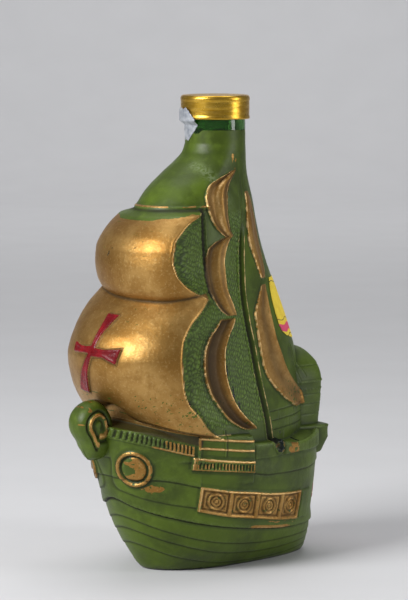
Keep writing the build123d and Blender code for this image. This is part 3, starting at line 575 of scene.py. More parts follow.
# stern castle: moulding, studs, planks
aft = sstep(33, 37, X)
zm = 85.0 - 0.0 * X
D += 0.5 * bumpf(Z - 85.0, 0.9) * aft
wear_and_highlight = np.maximum(wear_and_highlight, 0.35 * bumpf(Z - 85.2, 0.5) * aft)
peri = np.where(np.abs(Y) > 18, X, np.abs(Y) + 30)
stud = bumpf(np.hypot(((peri / 2.4) % 1 - 0.5) * 2.4, Z - 81.2), 0.75)
D += 0.45 * stud * aft
wear_and_highlight = np.maximum(wear_and_highlight, 0.45 * stud * aft)
D -= 0.3 * bumpf(Z - 78.8, 0.5) * aft
for zl in (74, 69, 92.5):
    D -= 0.25 * bumpf(Z - zl, 0.45) * aft
# stern windows on the transom, framed, three in a row
tr = sstep(49.5, 51, X)
for yc in (-12.5, 0.0, 12.5):
    e = np.minimum(4.0 - np.abs(Y - yc), 4.6 - np.abs(Z - 72.2))
    win = sstep(-0.2, 0.2, e) * tr
    D += 0.7 * tr * bumpf(e, 0.9)
    D -= 0.5 * win * sstep(0.6, 1.2, e)
    D += 0.45 * win * np.maximum(bumpf(Y - yc, 0.5), bumpf(Z - 72.2, 0.5))
    # painted shade inside each window's recess
    dark = np.maximum(dark, 0.5 * win * sstep(0.6, 1.2, e))
# gallery dentils
gal = (Z > 50) & (Z < 64) & (X > 44)
den = np.abs(((Y / 3.0) % 1) - 0.5) * 2
D -= 0.45 * gal * (np.abs(Y) < 23) * (1 - sstep(0.3, 0.6, den)) * sstep(57.4, 58, Z) * (1 - sstep(61.2, 61.8, Z))
D += 0.3 * gal * bumpf(Z - 62.6, 0.7)

# ------- cross with flared arms on the front of the foresail
cc = np.array([-3.9, 107.4])
poly = [(-0.8, 124.6), (-9.0, 124.3), (-6.6, 116.5), (-5.7, 109.7), (-11.5, 109.3), (-20.0, 110.3), (-18.3, 102.3),
        (-10.5, 105.2), (-4.0, 105.0), (-0.5, 97.0), (3.3, 87.1), (12.2, 88.0), (5.0, 97.5), (-0.9, 106.3), (5.5, 106.2),
        (11.6, 106.0), (11.2, 111.4), (4.5, 109.9), (-2.4, 110.4), (-2.4, 116.5)]


def poly_sd(px, py, poly):
    """Signed distance to a polygon, positive inside."""
    d = np.full(px.shape, 1e9)
    ins = np.zeros(px.shape, bool)
    m = len(poly)
    for i in range(m):
        ax, ay = poly[i]
        bx_, by_ = poly[(i + 1) % m]
        ex, ey = bx_ - ax, by_ - ay
        t = np.clip(((px - ax) * ex + (py - ay) * ey) / (ex * ex + ey * ey), 0, 1)
        d = np.minimum(d, np.hypot(px - ax - t * ex, py - ay - t * ey))
        cond = (ay > py) != (by_ > py)
        with np.errstate(divide="ignore", invalid="ignore"):
            xi = ex * (py - ay) / (ey if abs(ey) > 1e-9 else 1e-9) + ax
        ins ^= cond & (px < xi)
    return np.where(ins, d, -d)


sd = np.full((NR, NT), -9.0)
m_ = (X < -55) & (Z > 84) & (Z < 127)
sd[m_] = poly_sd(Y[m_], Z[m_], poly)
D += 0.95 * sstep(-0.1, 0.7, sd)
red = sstep(0.15, 0.55, sd)
D -= 0.25 * sstep(1.1, 1.7, sd)
# painted shade along the cross's edge walls
dark = np.maximum(dark, 0.5 * bumpf(sd + 0.2, 0.5))
wear_and_highlight = np.maximum(wear_and_highlight, 0.42 * bumpf(sd - 0.45, 0.4) * sstep(-0.4, 0.3, noise2(Y / 4, Z / 4, 99, 2)))

# ------- yard edge under the shoulder
zy = 173.6 - 0.5 * np.cos(np.clip((THg - np.pi) * 1.5, -np.pi, np.pi))
my = (X < -21)
D += 0.5 * bumpf(Z - zy, 1.1) * my
gold = np.maximum(gold, my * bumpf(Z - zy - 0.3, 0.9) * sstep(-0.35, 0.3, noise2(X / 3, Z / 2, 71, 2)))
wear_and_highlight = np.maximum(wear_and_highlight, 0.6 * my * bumpf(Z - zy - 0.3, 0.6) * sstep(-0.5, 0.3, noise2(X / 3, Z / 2, 71, 2)))
# painted shadow under the yard edge
dark = np.maximum(dark, 0.7 * my * bumpf(Z - zy + 1.4, 1.0))
# a painted highlight streak along the shoulder's ridge, and gold specks on the shoulder
shoulder_highlight = np.exp(-(((X + 16.0 - (186 - Z) * 0.55) / 3.0) ** 2)) * sstep(170, 178, Z) * (1 - sstep(192, 199, Z)) * side
shoulder_highlight_mask = shoulder_highlight
gold = np.maximum(gold, np.exp(-(((X + 1.0) / 1.8) ** 2 + ((Z - 194) / 5.0) ** 2)) * side * sstep(-0.1, 0.5, noise2(X, Z / 2, 72, 2)))

# paint gone in small black-looking chips
for cx, cz, rx, rz in ((-20.6, 97.5, 0.5, 3.0), (-18.4, 86.0, 0.6, 4.4), (-15.6, 80.5, 0.5, 2.2),
                       (-46.8, 84.5, 0.7, 1.6), (-43.6, 80.6, 0.7, 1.5), (-36.0, 73.2, 0.6, 0.7),
                       (12.5, 61.0, 0.9, 0.5), (20.5, 60.6, 0.8, 0.7), (12.0, 64.6, 0.4, 1.0)):
    e = ((X - cx) / rx) ** 2 + ((Z - cz) / rz) ** 2
    chip = np.maximum(chip, sstep(0.15, 0.45, np.clip(1.15 - e, 0, 1) + 0.45 * noise2(X / 0.8, Z / 0.8, int(cz * 7), 2)) * (e < 2) * (Y < 0))
for cy, cz, ry, rz in ((4.9, 152.2, 0.55, 0.9), (2.6, 154.6, 0.4, 0.5), (5.6, 151.2, 0.4, 0.5), (-12.6, 155.6, 0.35, 0.35)):
    e = ((Y - cy) / ry) ** 2 + ((Z - cz) / rz) ** 2
    chip = np.maximum(chip, sstep(0.2, 0.5, np.clip(1.2 - e, 0, 1)) * (X < -50))
chip = np.maximum(chip, 0.9 * (1 - sstep(0.5, 1.0, Z + 0.4 * noise2(THg * 20, Z * 0, 98, 3))))
fine = noise2(X / 0.6 + 50, Z / 0.6, 81, 2)
big = noise2(X / 9 + 20, Z / 9, 82, 2)
speck = sstep(0.50, 0.62, fine + 0.18 * big) * gold
green_on_gold = speck * (0.6 + 0.4 * (Z < 88))
foot_wear = np.exp(-(((X + 46) / 11.0) ** 2 + ((Z - 79.5) / 3.4) ** 2)) * side
foot_wear = np.maximum(foot_wear, 0.9 * np.exp(-(((X - 28) / 9.0) ** 2 + ((Z - 81) / 7.0) ** 2)) * side)
green_on_gold = np.maximum(green_on_gold, foot_wear * sstep(-0.1, 0.35, noise2(X / 1.1, Z / 0.8, 83, 2)))
gold = gold * (1 - 0.9 * green_on_gold)
gold *= 1 - red
gold *= 1 - chip

# gentle unevenness of blown glass and thick paint
D += 0.10 * noise2(X / 7 + 3, Z / 7, 91, 2) + 0.035 * noise2(X / 1.6 + 8, Z / 1.6, 92, 2)
# nothing on the neck above the paint, and no relief at the very bottom
D *= 1 - sstep(197, 201, Z)
D *= sstep(0.2, 1.6, Z)
# smooth glass under the two paper labels
under_label = ((X > 15) & (Z > 104.5) & (Z < 138.5) & (AY < 23)) | ((X > 36) & (Z > 26) & (Z < 50) & (AY < 25))
flat = under_label.astype(float)
for _ in range(3):
    flat[1:-1] = (flat[:-2] + flat[1:-1] + flat[2:]) / 3
    flat = (np.roll(flat, 1, 1) + flat + np.roll(flat, -1, 1)) / 3
D *= 1 - np.clip(flat * 1.3, 0, 1)

X2, Y2, Z2 = X + D * N[..., 0], Y + D * N[..., 1], Z + D * N[..., 2]
Z2 = np.maximum(Z2, 0.0)
Z2[0] = 0.0
Z2[-1] = 202.0

# curvature of the relief: high where edges stand out, low in recesses
P = np.stack([X2, Y2, Z2], -1)
N2 = normals(X2, Y2, Z2)


def cav(P, N, step):
    M = 0.25 * (np.roll(P, step, 1) + np.roll(P, -step, 1))
    up = np.concatenate([P[step:], np.repeat(P[-1:], step, 0)])
    dn = np.concatenate([np.repeat(P[:1], step, 0), P[:-step]])
    M = M + 0.25 * (up + dn)
    return ((M - P) * N).sum(-1)


c1 = cav(P, N2, 1)
c3 = cav(P, N2, 4)
convex = np.clip(-c1 / 0.05, 0, 1) * 0.6 + np.clip(-c3 / 0.35, 0, 1) * 0.6
# hollow drives painted shade in the recesses in the material
hollow = np.clip(c1 / 0.05, 0, 1) * 0.5 + np.clip(c3 / 0.35, 0, 1) * 0.7

# ------------------------------------------------------- neck, finish, lip, inside
ring_prof = [(202.8, 14.5), (205, 14.5), (207.5, 14.5), (209.5, 14.5), (211.2, 14.5), (212.3, 14.48), (212.8, 14.42), (213.2, 14.38)]
zfin = list(np.arange(213.6, 221.9, 0.26))
prof = [(z_, r_, 0) for z_, r_ in ring_prof] + [(z_, 14.38, 1) for z_ in zfin]
prof += [(222.0, 14.25, 0), (222.45, 13.95, 0), (222.72, 13.5, 0), (222.8, 12.9, 0), (222.8, 11.6, 0), (222.72, 11.0, 0),
         (222.45, 10.55, 0), (221.9, 10.3, 0), (221, 10.2, 0), (216, 10.2, 0), (210, 10.2, 0), (205, 10.25, 0), (201, 10.4, 0)]
neck_rows = []
PITCH = 4.2333
for z_, r_, thr in prof:
    r = np.full(NT, float(r_))
    if thr:
        # one right-hand ridge: its height rises with the angle
        for kturn in range(-1, 3):
            a = (th + 2 * np.pi * kturn) / (2 * np.pi)
            zc_ = 217.2 + PITCH * a
            fade = sstep(-0.02, 0.08, a) * (1 - sstep(0.72, 0.82, a))
            r = np.maximum(r, 14.38 + 1.05 * fade * np.clip(1.28 - np.abs(z_ - zc_) / 0.75, 0, 1))
    neck_rows.append(np.stack([r * np.cos(th), r * np.sin(th), np.full(NT, z_)], -1))
# inside: follows the outside about 3 mm in, smoothed
zin = [196, 190, 182, 174, 166, 158, 150, 142, 134, 126, 118, 110, 102, 94, 86, 78, 70, 62, 54, 46, 38, 30, 22, 15, 10, 7, 5.2, 4.6]
for z_ in zin:
    i = int(round(max(z_, 4.6) / 0.25))
    r = R[max(i - 14, 0):i + 15].min(0) - 3.2
    kk = np.ones(61) / 61
    r = np.convolve(np.concatenate([r[-30:], r, r[:30]]), kk, "valid")
    for _ in range(2):
        r = np.minimum(r, R[max(i - 8, 0):i + 9].min(0) - 2.9)
    r = np.maximum(r, 9.4)
    if z_ < 8:
        r = r - (8 - z_) ** 1.5 * 0.9
    neck_rows.append(np.stack([r * np.cos(th), r * np.sin(th), np.full(NT, max(z_, 4.5))], -1))
extra = np.array(neck_rows)
# underside: rounded bearing edge, then flat to the middle
under = []
for s_ in (0.985, 0.93, 0.8, 0.6, 0.4, 0.2, 0.06):
    q = P[0].copy()
    q[:, 0] = 4.0 + (q[:, 0] - 4.0) * s_
    q[:, 1] = q[:, 1] * s_
    q[:, 2] = 0.0
    under.append(q)
under = np.array(under[::-1])
allP = np.concatenate([under, P, extra]) * MM
nU, nE = len(under), len(extra)
rows_total = len(allP)


def pad(a, below=0.0, above=0.0):
    return np.concatenate([np.full((nU, NT), below), a, np.full((nE, NT), above)])


zedge = 208.0 + 0.45 * np.sin(th * 3 + 1) + 0.35 * noise2(th * 3, th * 0, 7, 2)
bare = np.zeros((rows_total, NT))
nz = allP[..., 2] / MM
first_extra = nU + len(P)
for i in range(first_extra, rows_total):
    bare[i] = sstep(-0.35, 0.35, nz[i] - zedge) if i < first_extra + 20 else 1.0
attrs = {
    "gold": pad(gold), "red": pad(red), "wear_and_highlight": pad(np.clip(wear_and_highlight, 0, 1)), "painted_shade": pad(np.clip(dark, 0, 1)),
    "chip": pad(chip), "bare": bare, "convex": pad(convex), "hollow": pad(hollow),
    "scales": pad(np.clip(scale_hi, 0, 1)), "inzone": pad(np.clip(green_zone, 0, 1)), "sail_shadow": pad(sail_shadow_band), "shoulder_highlight": pad(shoulder_highlight_mask),
}


def grid_mesh(name, P, wrap=True, cap_start=None, cap_end=None):
    nr, nc = P.shape[:2]
    verts = P.reshape(-1, 3)
    i = np.arange(nr - 1)[:, None] * nc
    j = np.arange(nc if wrap else nc - 1)[None]
    j2 = (j + 1) % nc
    quads = np.stack([i + j, i + j2, i + nc + j2, i + nc + j], -1).reshape(-1, 4)
    nv = len(verts)
    tris = []
    if cap_start is not None:
        verts = np.vstack([verts, [cap_start]])
        c = nv
        nv += 1
        jj = np.arange(nc)
        tris.append(np.stack([np.full(nc, c), (jj + 1) % nc, jj], -1))
    if cap_end is not None:
        verts = np.vstack([verts, [cap_end]])
        c = nv
        nv += 1
        jj = np.arange(nc) + (nr - 1) * nc
        tris.append(np.stack([np.full(nc, c), jj, np.roll(jj, -1)], -1))
    tris = np.vstack(tris) if tris else np.zeros((0, 3), int)
    me = bpy.data.meshes.new(name)
    me.vertices.add(len(verts))
    me.vertices.foreach_set("co", verts.astype(np.float32).ravel())
    nl = len(quads) * 4 + len(tris) * 3
    me.loops.add(nl)
    me.loops.foreach_set("vertex_index", np.concatenate([quads.ravel(), tris.ravel()]).astype(np.int32))
    me.polygons.add(len(quads) + len(tris))
    starts = np.concatenate([np.arange(len(quads)) * 4, len(quads) * 4 + np.arange(len(tris)) * 3])
    me.polygons.foreach_set("loop_start", starts.astype(np.int32))
    me.update(calc_edges=True)
    me.validate()
    me.polygons.foreach_set("use_smooth", np.ones(len(me.polygons), bool))
    ob = bpy.data.objects.new(name, me)
    bpy.context.scene.collection.objects.link(ob)
    return ob


bottle = grid_mesh("bottle_glass", allP, cap_start=(0.004, 0, 0), cap_end=(0.0, 0, 0.0045))
for name, a in attrs.items():
    at_ = bottle.data.attributes.new(name, "FLOAT", "POINT")
    v = np.concatenate([a.reshape(-1), [a[0, 0], a[-1, 0]]])
    at_.data.foreach_set("value", v.astype(np.float32))


# --------------------------------------------------------- scroll head at the bow
NP = 240
ph = np.arange(NP) * 2 * np.pi / NP
HC = np.array([-75.2, 73.6])
keys = np.array([-180, -150, -132, -119, -103, -94.3, -80, -60, -30, 0, 30, 60, 82, 100, 120, 150, 180.0])
vals = np.array([9.9, 9.9, 10.1, 11.0, 14.5, 17.1, 17.9, 18.6, 15.0, 10.6, 10.0, 10.2, 10.6, 10.3, 10.0, 9.9, 9.9])
rp = pchip(keys, vals, np.degrees(np.arctan2(np.sin(ph), np.cos(ph))))
HW = 7.3
rows, gh, dh, rh = [], [], [], []
ss = [0.02, 0.10, 0.18, 0.26, 0.32, 0.37, 0.41, 0.45, 0.49, 0.53, 0.57, 0.61, 0.65, 0.69, 0.73, 0.77, 0.81, 0.85, 0.885, 0.915, 0.94, 0.96, 0.975, 0.986, 0.993, 0.998]


def head_side(sign, sseq):
    for s_ in sseq:
        r = rp * s_
        rr = np.minimum(r, 9.9 * s_)
        y = HW * np.clip(1 - (s_ ** 4.6), 0, 1) ** 0.5
        y = np.full(NP, y)
        # volute: groove that winds in towards a rounded eye
        turn = (ph * -sign if sign > 0 else ph)
        turn = np.mod(np.arctan2(np.sin(ph), np.cos(ph)) + np.pi / 2, 2 * np.pi) / (2 * np.pi)
        groove = np.minimum(np.abs(rr - (4.6 + 2.3 * turn)), np.abs(rr - (4.6 + 2.3 * turn - 2.3 - 1.2)))
        y = y - 1.1 * bumpf(groove, 1.0) * (rr < 7.2) + 0.8 * bumpf(rr - (4.6 + 2.3 * turn - 1.5), 1.2)
        y = y + 0.7 * np.sqrt(np.clip(1 - (rr / 2.0) ** 2, 0, 1))
        y = y - 1.0 * sstep(11.0, 15.0, r)
        x = HC[0] + r * np.cos(ph)
        z = HC[1] + r * np.sin(ph)
        rows.append(np.stack([x, sign * y, z], -1))
        blot = noise2(x / 2.0 + 40, z / 2.0, 95, 2)
        gh.append(np.clip(1.0 * bumpf(rr - (4.6 + 2.3 * turn - 1.5), 1.5) * sstep(-0.5, 0.0, blot + 0.2) + sstep(0.1, 0.4, blot - 0.15) * (rr > 7) * (x < HC[0]) * (z > HC[1]) * 0.8, 0, 1))
        # painted shade in the volute's groove
        dh.append(0.9 * bumpf(groove, 0.8) * (rr < 8.4))
        # painted highlight and wear on the volute's ridge
        rh.append(0.5 * bumpf(rr - (4.6 + 2.3 * turn - 1.5), 0.5))


head_side(-1, ss)
for y_ in (0.0,):
    b = 1 + 0.012 * (1 - (y_ / HW) ** 2)
    rows.append(np.stack([HC[0] + rp * b * np.cos(ph), np.full(NP, y_ * 0.75), HC[1] + rp * b * np.sin(ph)], -1))
    gh.append(np.zeros(NP)); dh.append(np.zeros(NP)); rh.append(0.15 + 0 * ph)
head_side(1, ss[::-1])
headP = np.array(rows)
# columns run clockwise seen from -Y, so turn them about for outward faces
headP = headP[:, ::-1] * MM
gh, dh, rh = (np.array(a)[:, ::-1] for a in (gh, dh, rh))
# the scroll head as one closed mesh, gold where the paint has caught
kx, kz = headP[..., 0] / MM, headP[..., 2] / MM
head = grid_mesh("bow_scroll", headP, cap_start=headP[0].mean(0), cap_end=headP[-1].mean(0))
for name in attrs:
    v = {"gold": gh, "painted_shade": dh, "wear_and_highlight": rh}.get(name)
    at_ = head.data.attributes.new(name, "FLOAT", "POINT")
    v = np.zeros(headP.shape[:2]) if v is None else v
    if name == "convex":
        v = np.full(headP.shape[:2], 0.25)
    at_.data.foreach_set("value", np.concatenate([v.reshape(-1), [v[0, 0], v[-1, 0]]]).astype(np.float32))


# ------------------------------------------------------------ turned round pieces
def turned(name, prof, n=240, ridge=None):
    """Closed ring of profile points (r, z), turned about the neck axis."""
    a = np.arange(n) * 2 * np.pi / n
    P_ = []
    for r_, z_ in prof:
        r = np.full(n, float(r_))
        if ridge is not None:
            r = ridge(r, z_, a)
        P_.append(np.stack([r * np.cos(a), r * np.sin(a), np.full(n, z_)], -1))
    P_ = np.array(P_)
    P_ = np.concatenate([P_, P_[:1]]) if prof[0][0] > 0.05 and prof[-1][0] > 0.05 else P_
    return grid_mesh(name, P_ * MM)


def smooth_prof(pts, step=0.35):
    out = []
    for (r0, z0), (r1, z1) in zip(pts[:-1], pts[1:]):
        k_ = max(1, int(math.hypot(r1 - r0, z1 - z0) / step))
        out += [(r0 + (r1 - r0) * i / k_, z0 + (z1 - z0) * i / k_) for i in range(k_)]
    return out + [pts[-1]]


def cap_ridge(r, z_, a):
    if z_ > 222.5 or z_ < 213.9:
        return r
    inner = r < 15.95
    out = r.copy()
    for kt in range(-1, 3):
        q = a / (2 * np.pi) + kt
        zc_ = 217.2 - PITCH / 2 + 0.1 + PITCH * q
        f_ = sstep(0.0, 0.06, q) * (1 - sstep(0.84, 0.90, q))
        out = np.where(inner, np.minimum(out, 15.9 - 0.95 * f_ * np.clip(1.25 - np.abs(z_ - zc_) / 0.8, 0, 1)), out)
        # the rolled thread shows faintly from outside as a shallow hollow
        out = np.where(~inner & (z_ < 222), out - 0.10 * f_ * np.clip(1.25 - np.abs(z_ - zc_) / 1.1, 0, 1), out)
    return out


cap_prof = smooth_prof([
    (0.02, 224.25), (10, 224.25), (15.3, 224.25), (15.7, 224.1), (15.9, 223.6), (15.9, 214.5), (15.92, 213.9), (16.05, 213.65), (16.3, 213.6),
    (16.55, 213.75), (16.64, 214.15), (16.64, 214.6), (16.52, 215.0), (16.36, 215.35), (16.36, 216.0), (16.44, 218.0), (16.46, 220.6),
    (16.44, 222.0), (16.55, 222.5), (16.62, 223.0), (16.60, 223.6), (16.4, 224.2), (16.05, 224.65), (15.5, 224.92), (14.8, 225.0),
    (13.9, 224.97), (13.2, 224.82), (12.6, 224.74), (8, 224.74), (0.02, 224.74)])
cap_prof = [(r_, z_) for r_, z_ in cap_prof]
cap = turned("cap_gilt", cap_prof[::-1][::-1], ridge=cap_ridge)
liner = turned("liner_wad", smooth_prof([(0.02, 223.115), (14.9, 223.115), (15.2, 223.2), (15.29, 223.4), (15.29, 223.9), (15.2, 224.1), (14.9, 224.185), (0.02, 224.185)], 0.8))
facing = turned("liner_face", smooth_prof([(0.02, 222.865), (15.0, 222.865), (15.15, 222.9), (15.19, 222.98), (15.15, 223.07), (15.0, 223.105), (0.02, 223.105)], 0.8))


# ------------------------------------------------------------------ paper pieces
def resample(poly, n, jag=0.0, seed=1):
    p = np.array(poly + [poly[0]], float)
    s = np.concatenate([[0], np.cumsum(np.hypot(*np.diff(p, axis=0).T))])
    q = np.linspace(0, s[-1], n, endpoint=False)
    out = np.stack([np.interp(q, s, p[:, 0]), np.interp(q, s, p[:, 1])], -1)
    if jag:
        c = out.mean(0)
        d = out - c
        d /= np.linalg.norm(d, axis=1, keepdims=True)
        out = out + d * (jag * noise2(q * 1.7, q * 0, seed, 3))[:, None]
    return out


def patch(name, poly, centre, surf, t, rings=46, n=360, jag=0.0, lift=None):
    """A closed thin sheet: surf(u, v) gives a point and its outward normal."""
    b = resample(poly, n, jag)
    c = np.array(centre, float)
    s_ = np.linspace(0.02, 1, rings)
    U = c[0] + s_[:, None] * (b[None, :, 0] - c[0])
    V = c[1] + s_[:, None] * (b[None, :, 1] - c[1])
    P0, N0 = surf(U, V)
    h = np.zeros_like(U) if lift is None else lift(U, V)
    front = P0 + N0 * (0.02 + t + h)[..., None]
    backp = P0 + N0 * (0.02 + h)[..., None]
    allp = np.concatenate([front, backp[::-1]])
    fc, bc = front[0].mean(0), backp[0].mean(0)
    e1, e2 = front[5, 0] - fc, front[5, n // 4] - fc
    if np.dot(np.cross(e1, e2), N0[0, 0]) > 0:
        ob = grid_mesh(name, allp[:, ::-1] * MM, cap_start=fc * MM, cap_end=bc * MM)
        flip = True
    else:
        ob = grid_mesh(name, allp * MM, cap_start=fc * MM, cap_end=bc * MM)
        flip = False
    import bmesh
    bm = bmesh.new()
    bm.from_mesh(ob.data)
    bmesh.ops.recalc_face_normals(bm, faces=bm.faces)
    bm.to_mesh(ob.data)
    bm.free()
    return ob


def stern_surf(U, V):
    """Point on the smooth glass at the stern for y = U, z = V."""
    half = np.linspace(-1.35, 1.35, 541)
    out = np.empty(U.shape + (3,))
    zi = np.clip(V / 0.25, 0, len(zf) - 2)
    i0 = np.floor(zi).astype(int)
    f = zi - i0
    jj = (half / (2 * np.pi) * NT) % NT
    j0 = np.floor(jj).astype(int) % NT
    jf = jj - np.floor(jj)
    Rr = R[:, j0] * (1 - jf) + R[:, (j0 + 1) % NT] * jf
    xx, yy = Rr * np.cos(half), Rr * np.sin(half)
    res = np.empty(U.shape)
    for idx in np.ndindex(U.shape):
        a = np.interp(U[idx], yy[i0[idx]], xx[i0[idx]])
        b = np.interp(U[idx], yy[i0[idx] + 1], xx[i0[idx] + 1])
        res[idx] = a * (1 - f[idx]) + b * f[idx]
    return np.stack([res, U, V], -1)


def with_normals(fn, e=0.6):
    def g(U, V):
        p = fn(U, V)
        du = fn(U + e, V) - fn(U - e, V)
        dv = fn(U, V + e) - fn(U, V - e)
        n_ = np.cross(du, dv)
        return p, n_ / np.linalg.norm(n_, axis=-1, keepdims=True)
    return g


lab = [(-16, 137), (0, 137), (16, 137), (18.2, 132), (19.8, 126.5), (21.2, 120), (22, 114.5), (21.6, 111), (19.6, 108.4), (15.5, 106.8), (8, 106),
       (-8, 106), (-15.5, 106.8), (-19.6, 108.4), (-21.6, 111), (-22, 114.5), (-21.2, 120), (-19.8, 126.5), (-18.2, 132)]
label = patch("label_back", lab, (0, 121), with_normals(stern_surf), 0.2, rings=26, n=240,
              lift=lambda U, V: 0.05 + 0.05 * noise2(U / 6 + 9, V / 6, 3, 2))
w_, h_, rc_ = 24.0, 10.75, 3.0
rect = []
for cx, cz, a0 in ((w_ - rc_, 38.2 + h_ - rc_, 0), (-w_ + rc_, 38.2 + h_ - rc_, 90), (-w_ + rc_, 38.2 - h_ + rc_, 180), (w_ - rc_, 38.2 - h_ + rc_, 270)):
    for a_ in range(0, 91, 15):
        rect.append((cx + rc_ * math.cos(math.radians(a0 + a_)), cz + rc_ * math.sin(math.radians(a0 + a_))))
slabel = patch("label_stern", rect, (0, 38.2), with_normals(stern_surf), 0.2, rings=26, n=240,
               lift=lambda U, V: 0.05 + 0.05 * noise2(U / 6 + 2, V / 6, 4, 2))

tax = [(-8.3, 214.5), (-7.2, 217.6), (-4.6, 219.0), (-2.6, 219.0), (0.2, 218.5), (1.7, 219.3), (4.1, 217.5), (6.0, 215.2), (7.5, 213.6), (6.8, 211.0), (5.4, 209.0),
       (4.3, 207.5), (2.2, 205.2), (0.2, 203.2), (-1.6, 203.8), (-3.4, 203.4), (-5.2, 206.4), (-6.4, 208.8), (-7.4, 211.6)]


def tax_surf(U, V):
    r = 14.53 + 2.47 * sstep(210.6, 213.3, V)
    d = math.radians(170) + np.arcsin(np.clip(U / r, -0.95, 0.95))
    return np.stack([r * np.cos(d), r * np.sin(d), V], -1)


strip = patch("strip_paper", tax, (0, 212), with_normals(tax_surf, 0.3), 0.08, rings=60, n=360, jag=0.25,
              lift=lambda U, V: 0.05 + 0.16 * np.abs(noise2(U / 2.2 + 5, V / 2.2, 8, 3)) ** 0.7)


# -------------------------------------------------------------------- materials
def lin(r, g, b):
    f = lambda c: c / 12.92 if c <= 0.04045 else ((c + 0.055) / 1.055) ** 2.4
    return (f(r / 255), f(g / 255), f(b / 255), 1.0)


class Graph:
    def __init__(self, name):
        self.m = bpy.data.materials.new(name)
        self.m.use_nodes = True
        self.nt = self.m.node_tree
        self.nt.nodes.clear()
        self.out = self.nt.nodes.new("ShaderNodeOutputMaterial")
        self.co = self.node("ShaderNodeTexCoord").outputs["Object"]

    def put(self, sock, v):
        if isinstance(v, bpy.types.NodeSocket):
            self.nt.links.new(v, sock)
        else:
            sock.default_value = v

    def node(self, kind, ins=None, **props):
        n_ = self.nt.nodes.new(kind)
        for k_, v in props.items():
            setattr(n_, k_, v)
        for k_, v in (ins or {}).items():
            self.put(n_.inputs[k_], v)
        return n_

    def attr(self, name):
        return self.node("ShaderNodeAttribute", attribute_name=name).outputs["Fac"]

    def math(self, op, a, b=0.0, clamp=False):
        return self.node("ShaderNodeMath", {0: a, 1: b}, operation=op, use_clamp=clamp).outputs[0]

    def mix(self, f, a, b, blend="MIX"):
        n_ = self.node("ShaderNodeMix", data_type="RGBA", blend_type=blend, clamp_factor=True)
        self.put(n_.inputs[0], f)
        self.put(n_.inputs[6], a)
        self.put(n_.inputs[7], b)
        return n_.outputs[2]

    def mixf(self, f, a, b):
        n_ = self.node("ShaderNodeMix", data_type="FLOAT", clamp_factor=True)
        self.put(n_.inputs[0], f)
        self.put(n_.inputs[2], a)
        self.put(n_.inputs[3], b)
        return n_.outputs[0]

    def noise(self, size_mm, detail=3.0, rough=0.55, stretch=None, dist=0.0):
        co = self.co
        if stretch:
            co = self.node("ShaderNodeMapping", {"Vector": co, "Scale": stretch}).outputs[0]
        return self.node("ShaderNodeTexNoise", {"Vector": co, "Scale": 1000.0 / size_mm, "Detail": detail, "Roughness": rough, "Distortion": dist}).outputs["Fac"]

    def span(self, v, a, b):
        """0 at a, 1 at b, held outside."""
        return self.node("ShaderNodeMapRange", {"Value": v, "From Min": a, "From Max": b}, clamp=True, interpolation_type="SMOOTHSTEP").outputs[0]

    def bump(self, height, dist_mm, strength=1.0, normal=None):
        ins = {"Height": height, "Distance": dist_mm / 1000.0, "Strength": strength}
        if normal is not None:
            ins["Normal"] = normal
        return self.node("ShaderNodeBump", ins).outputs[0]

    def shader(self, **k_):
        names = {"color": "Base Color", "rough": "Roughness", "metal": "Metallic", "normal": "Normal", "spec": "Specular IOR Level",
                 "coat": "Coat Weight", "coat_rough": "Coat Roughness", "trans": "Transmission Weight", "ior": "IOR", "sheen": "Sheen Weight",
                 "aniso": "Anisotropic"}
        return self.node("ShaderNodeBsdfPrincipled", {names[a]: b for a, b in k_.items()}).outputs[0]

    def done(self, sh):
        self.nt.links.new(sh, self.out.inputs["Surface"])
        return self.m


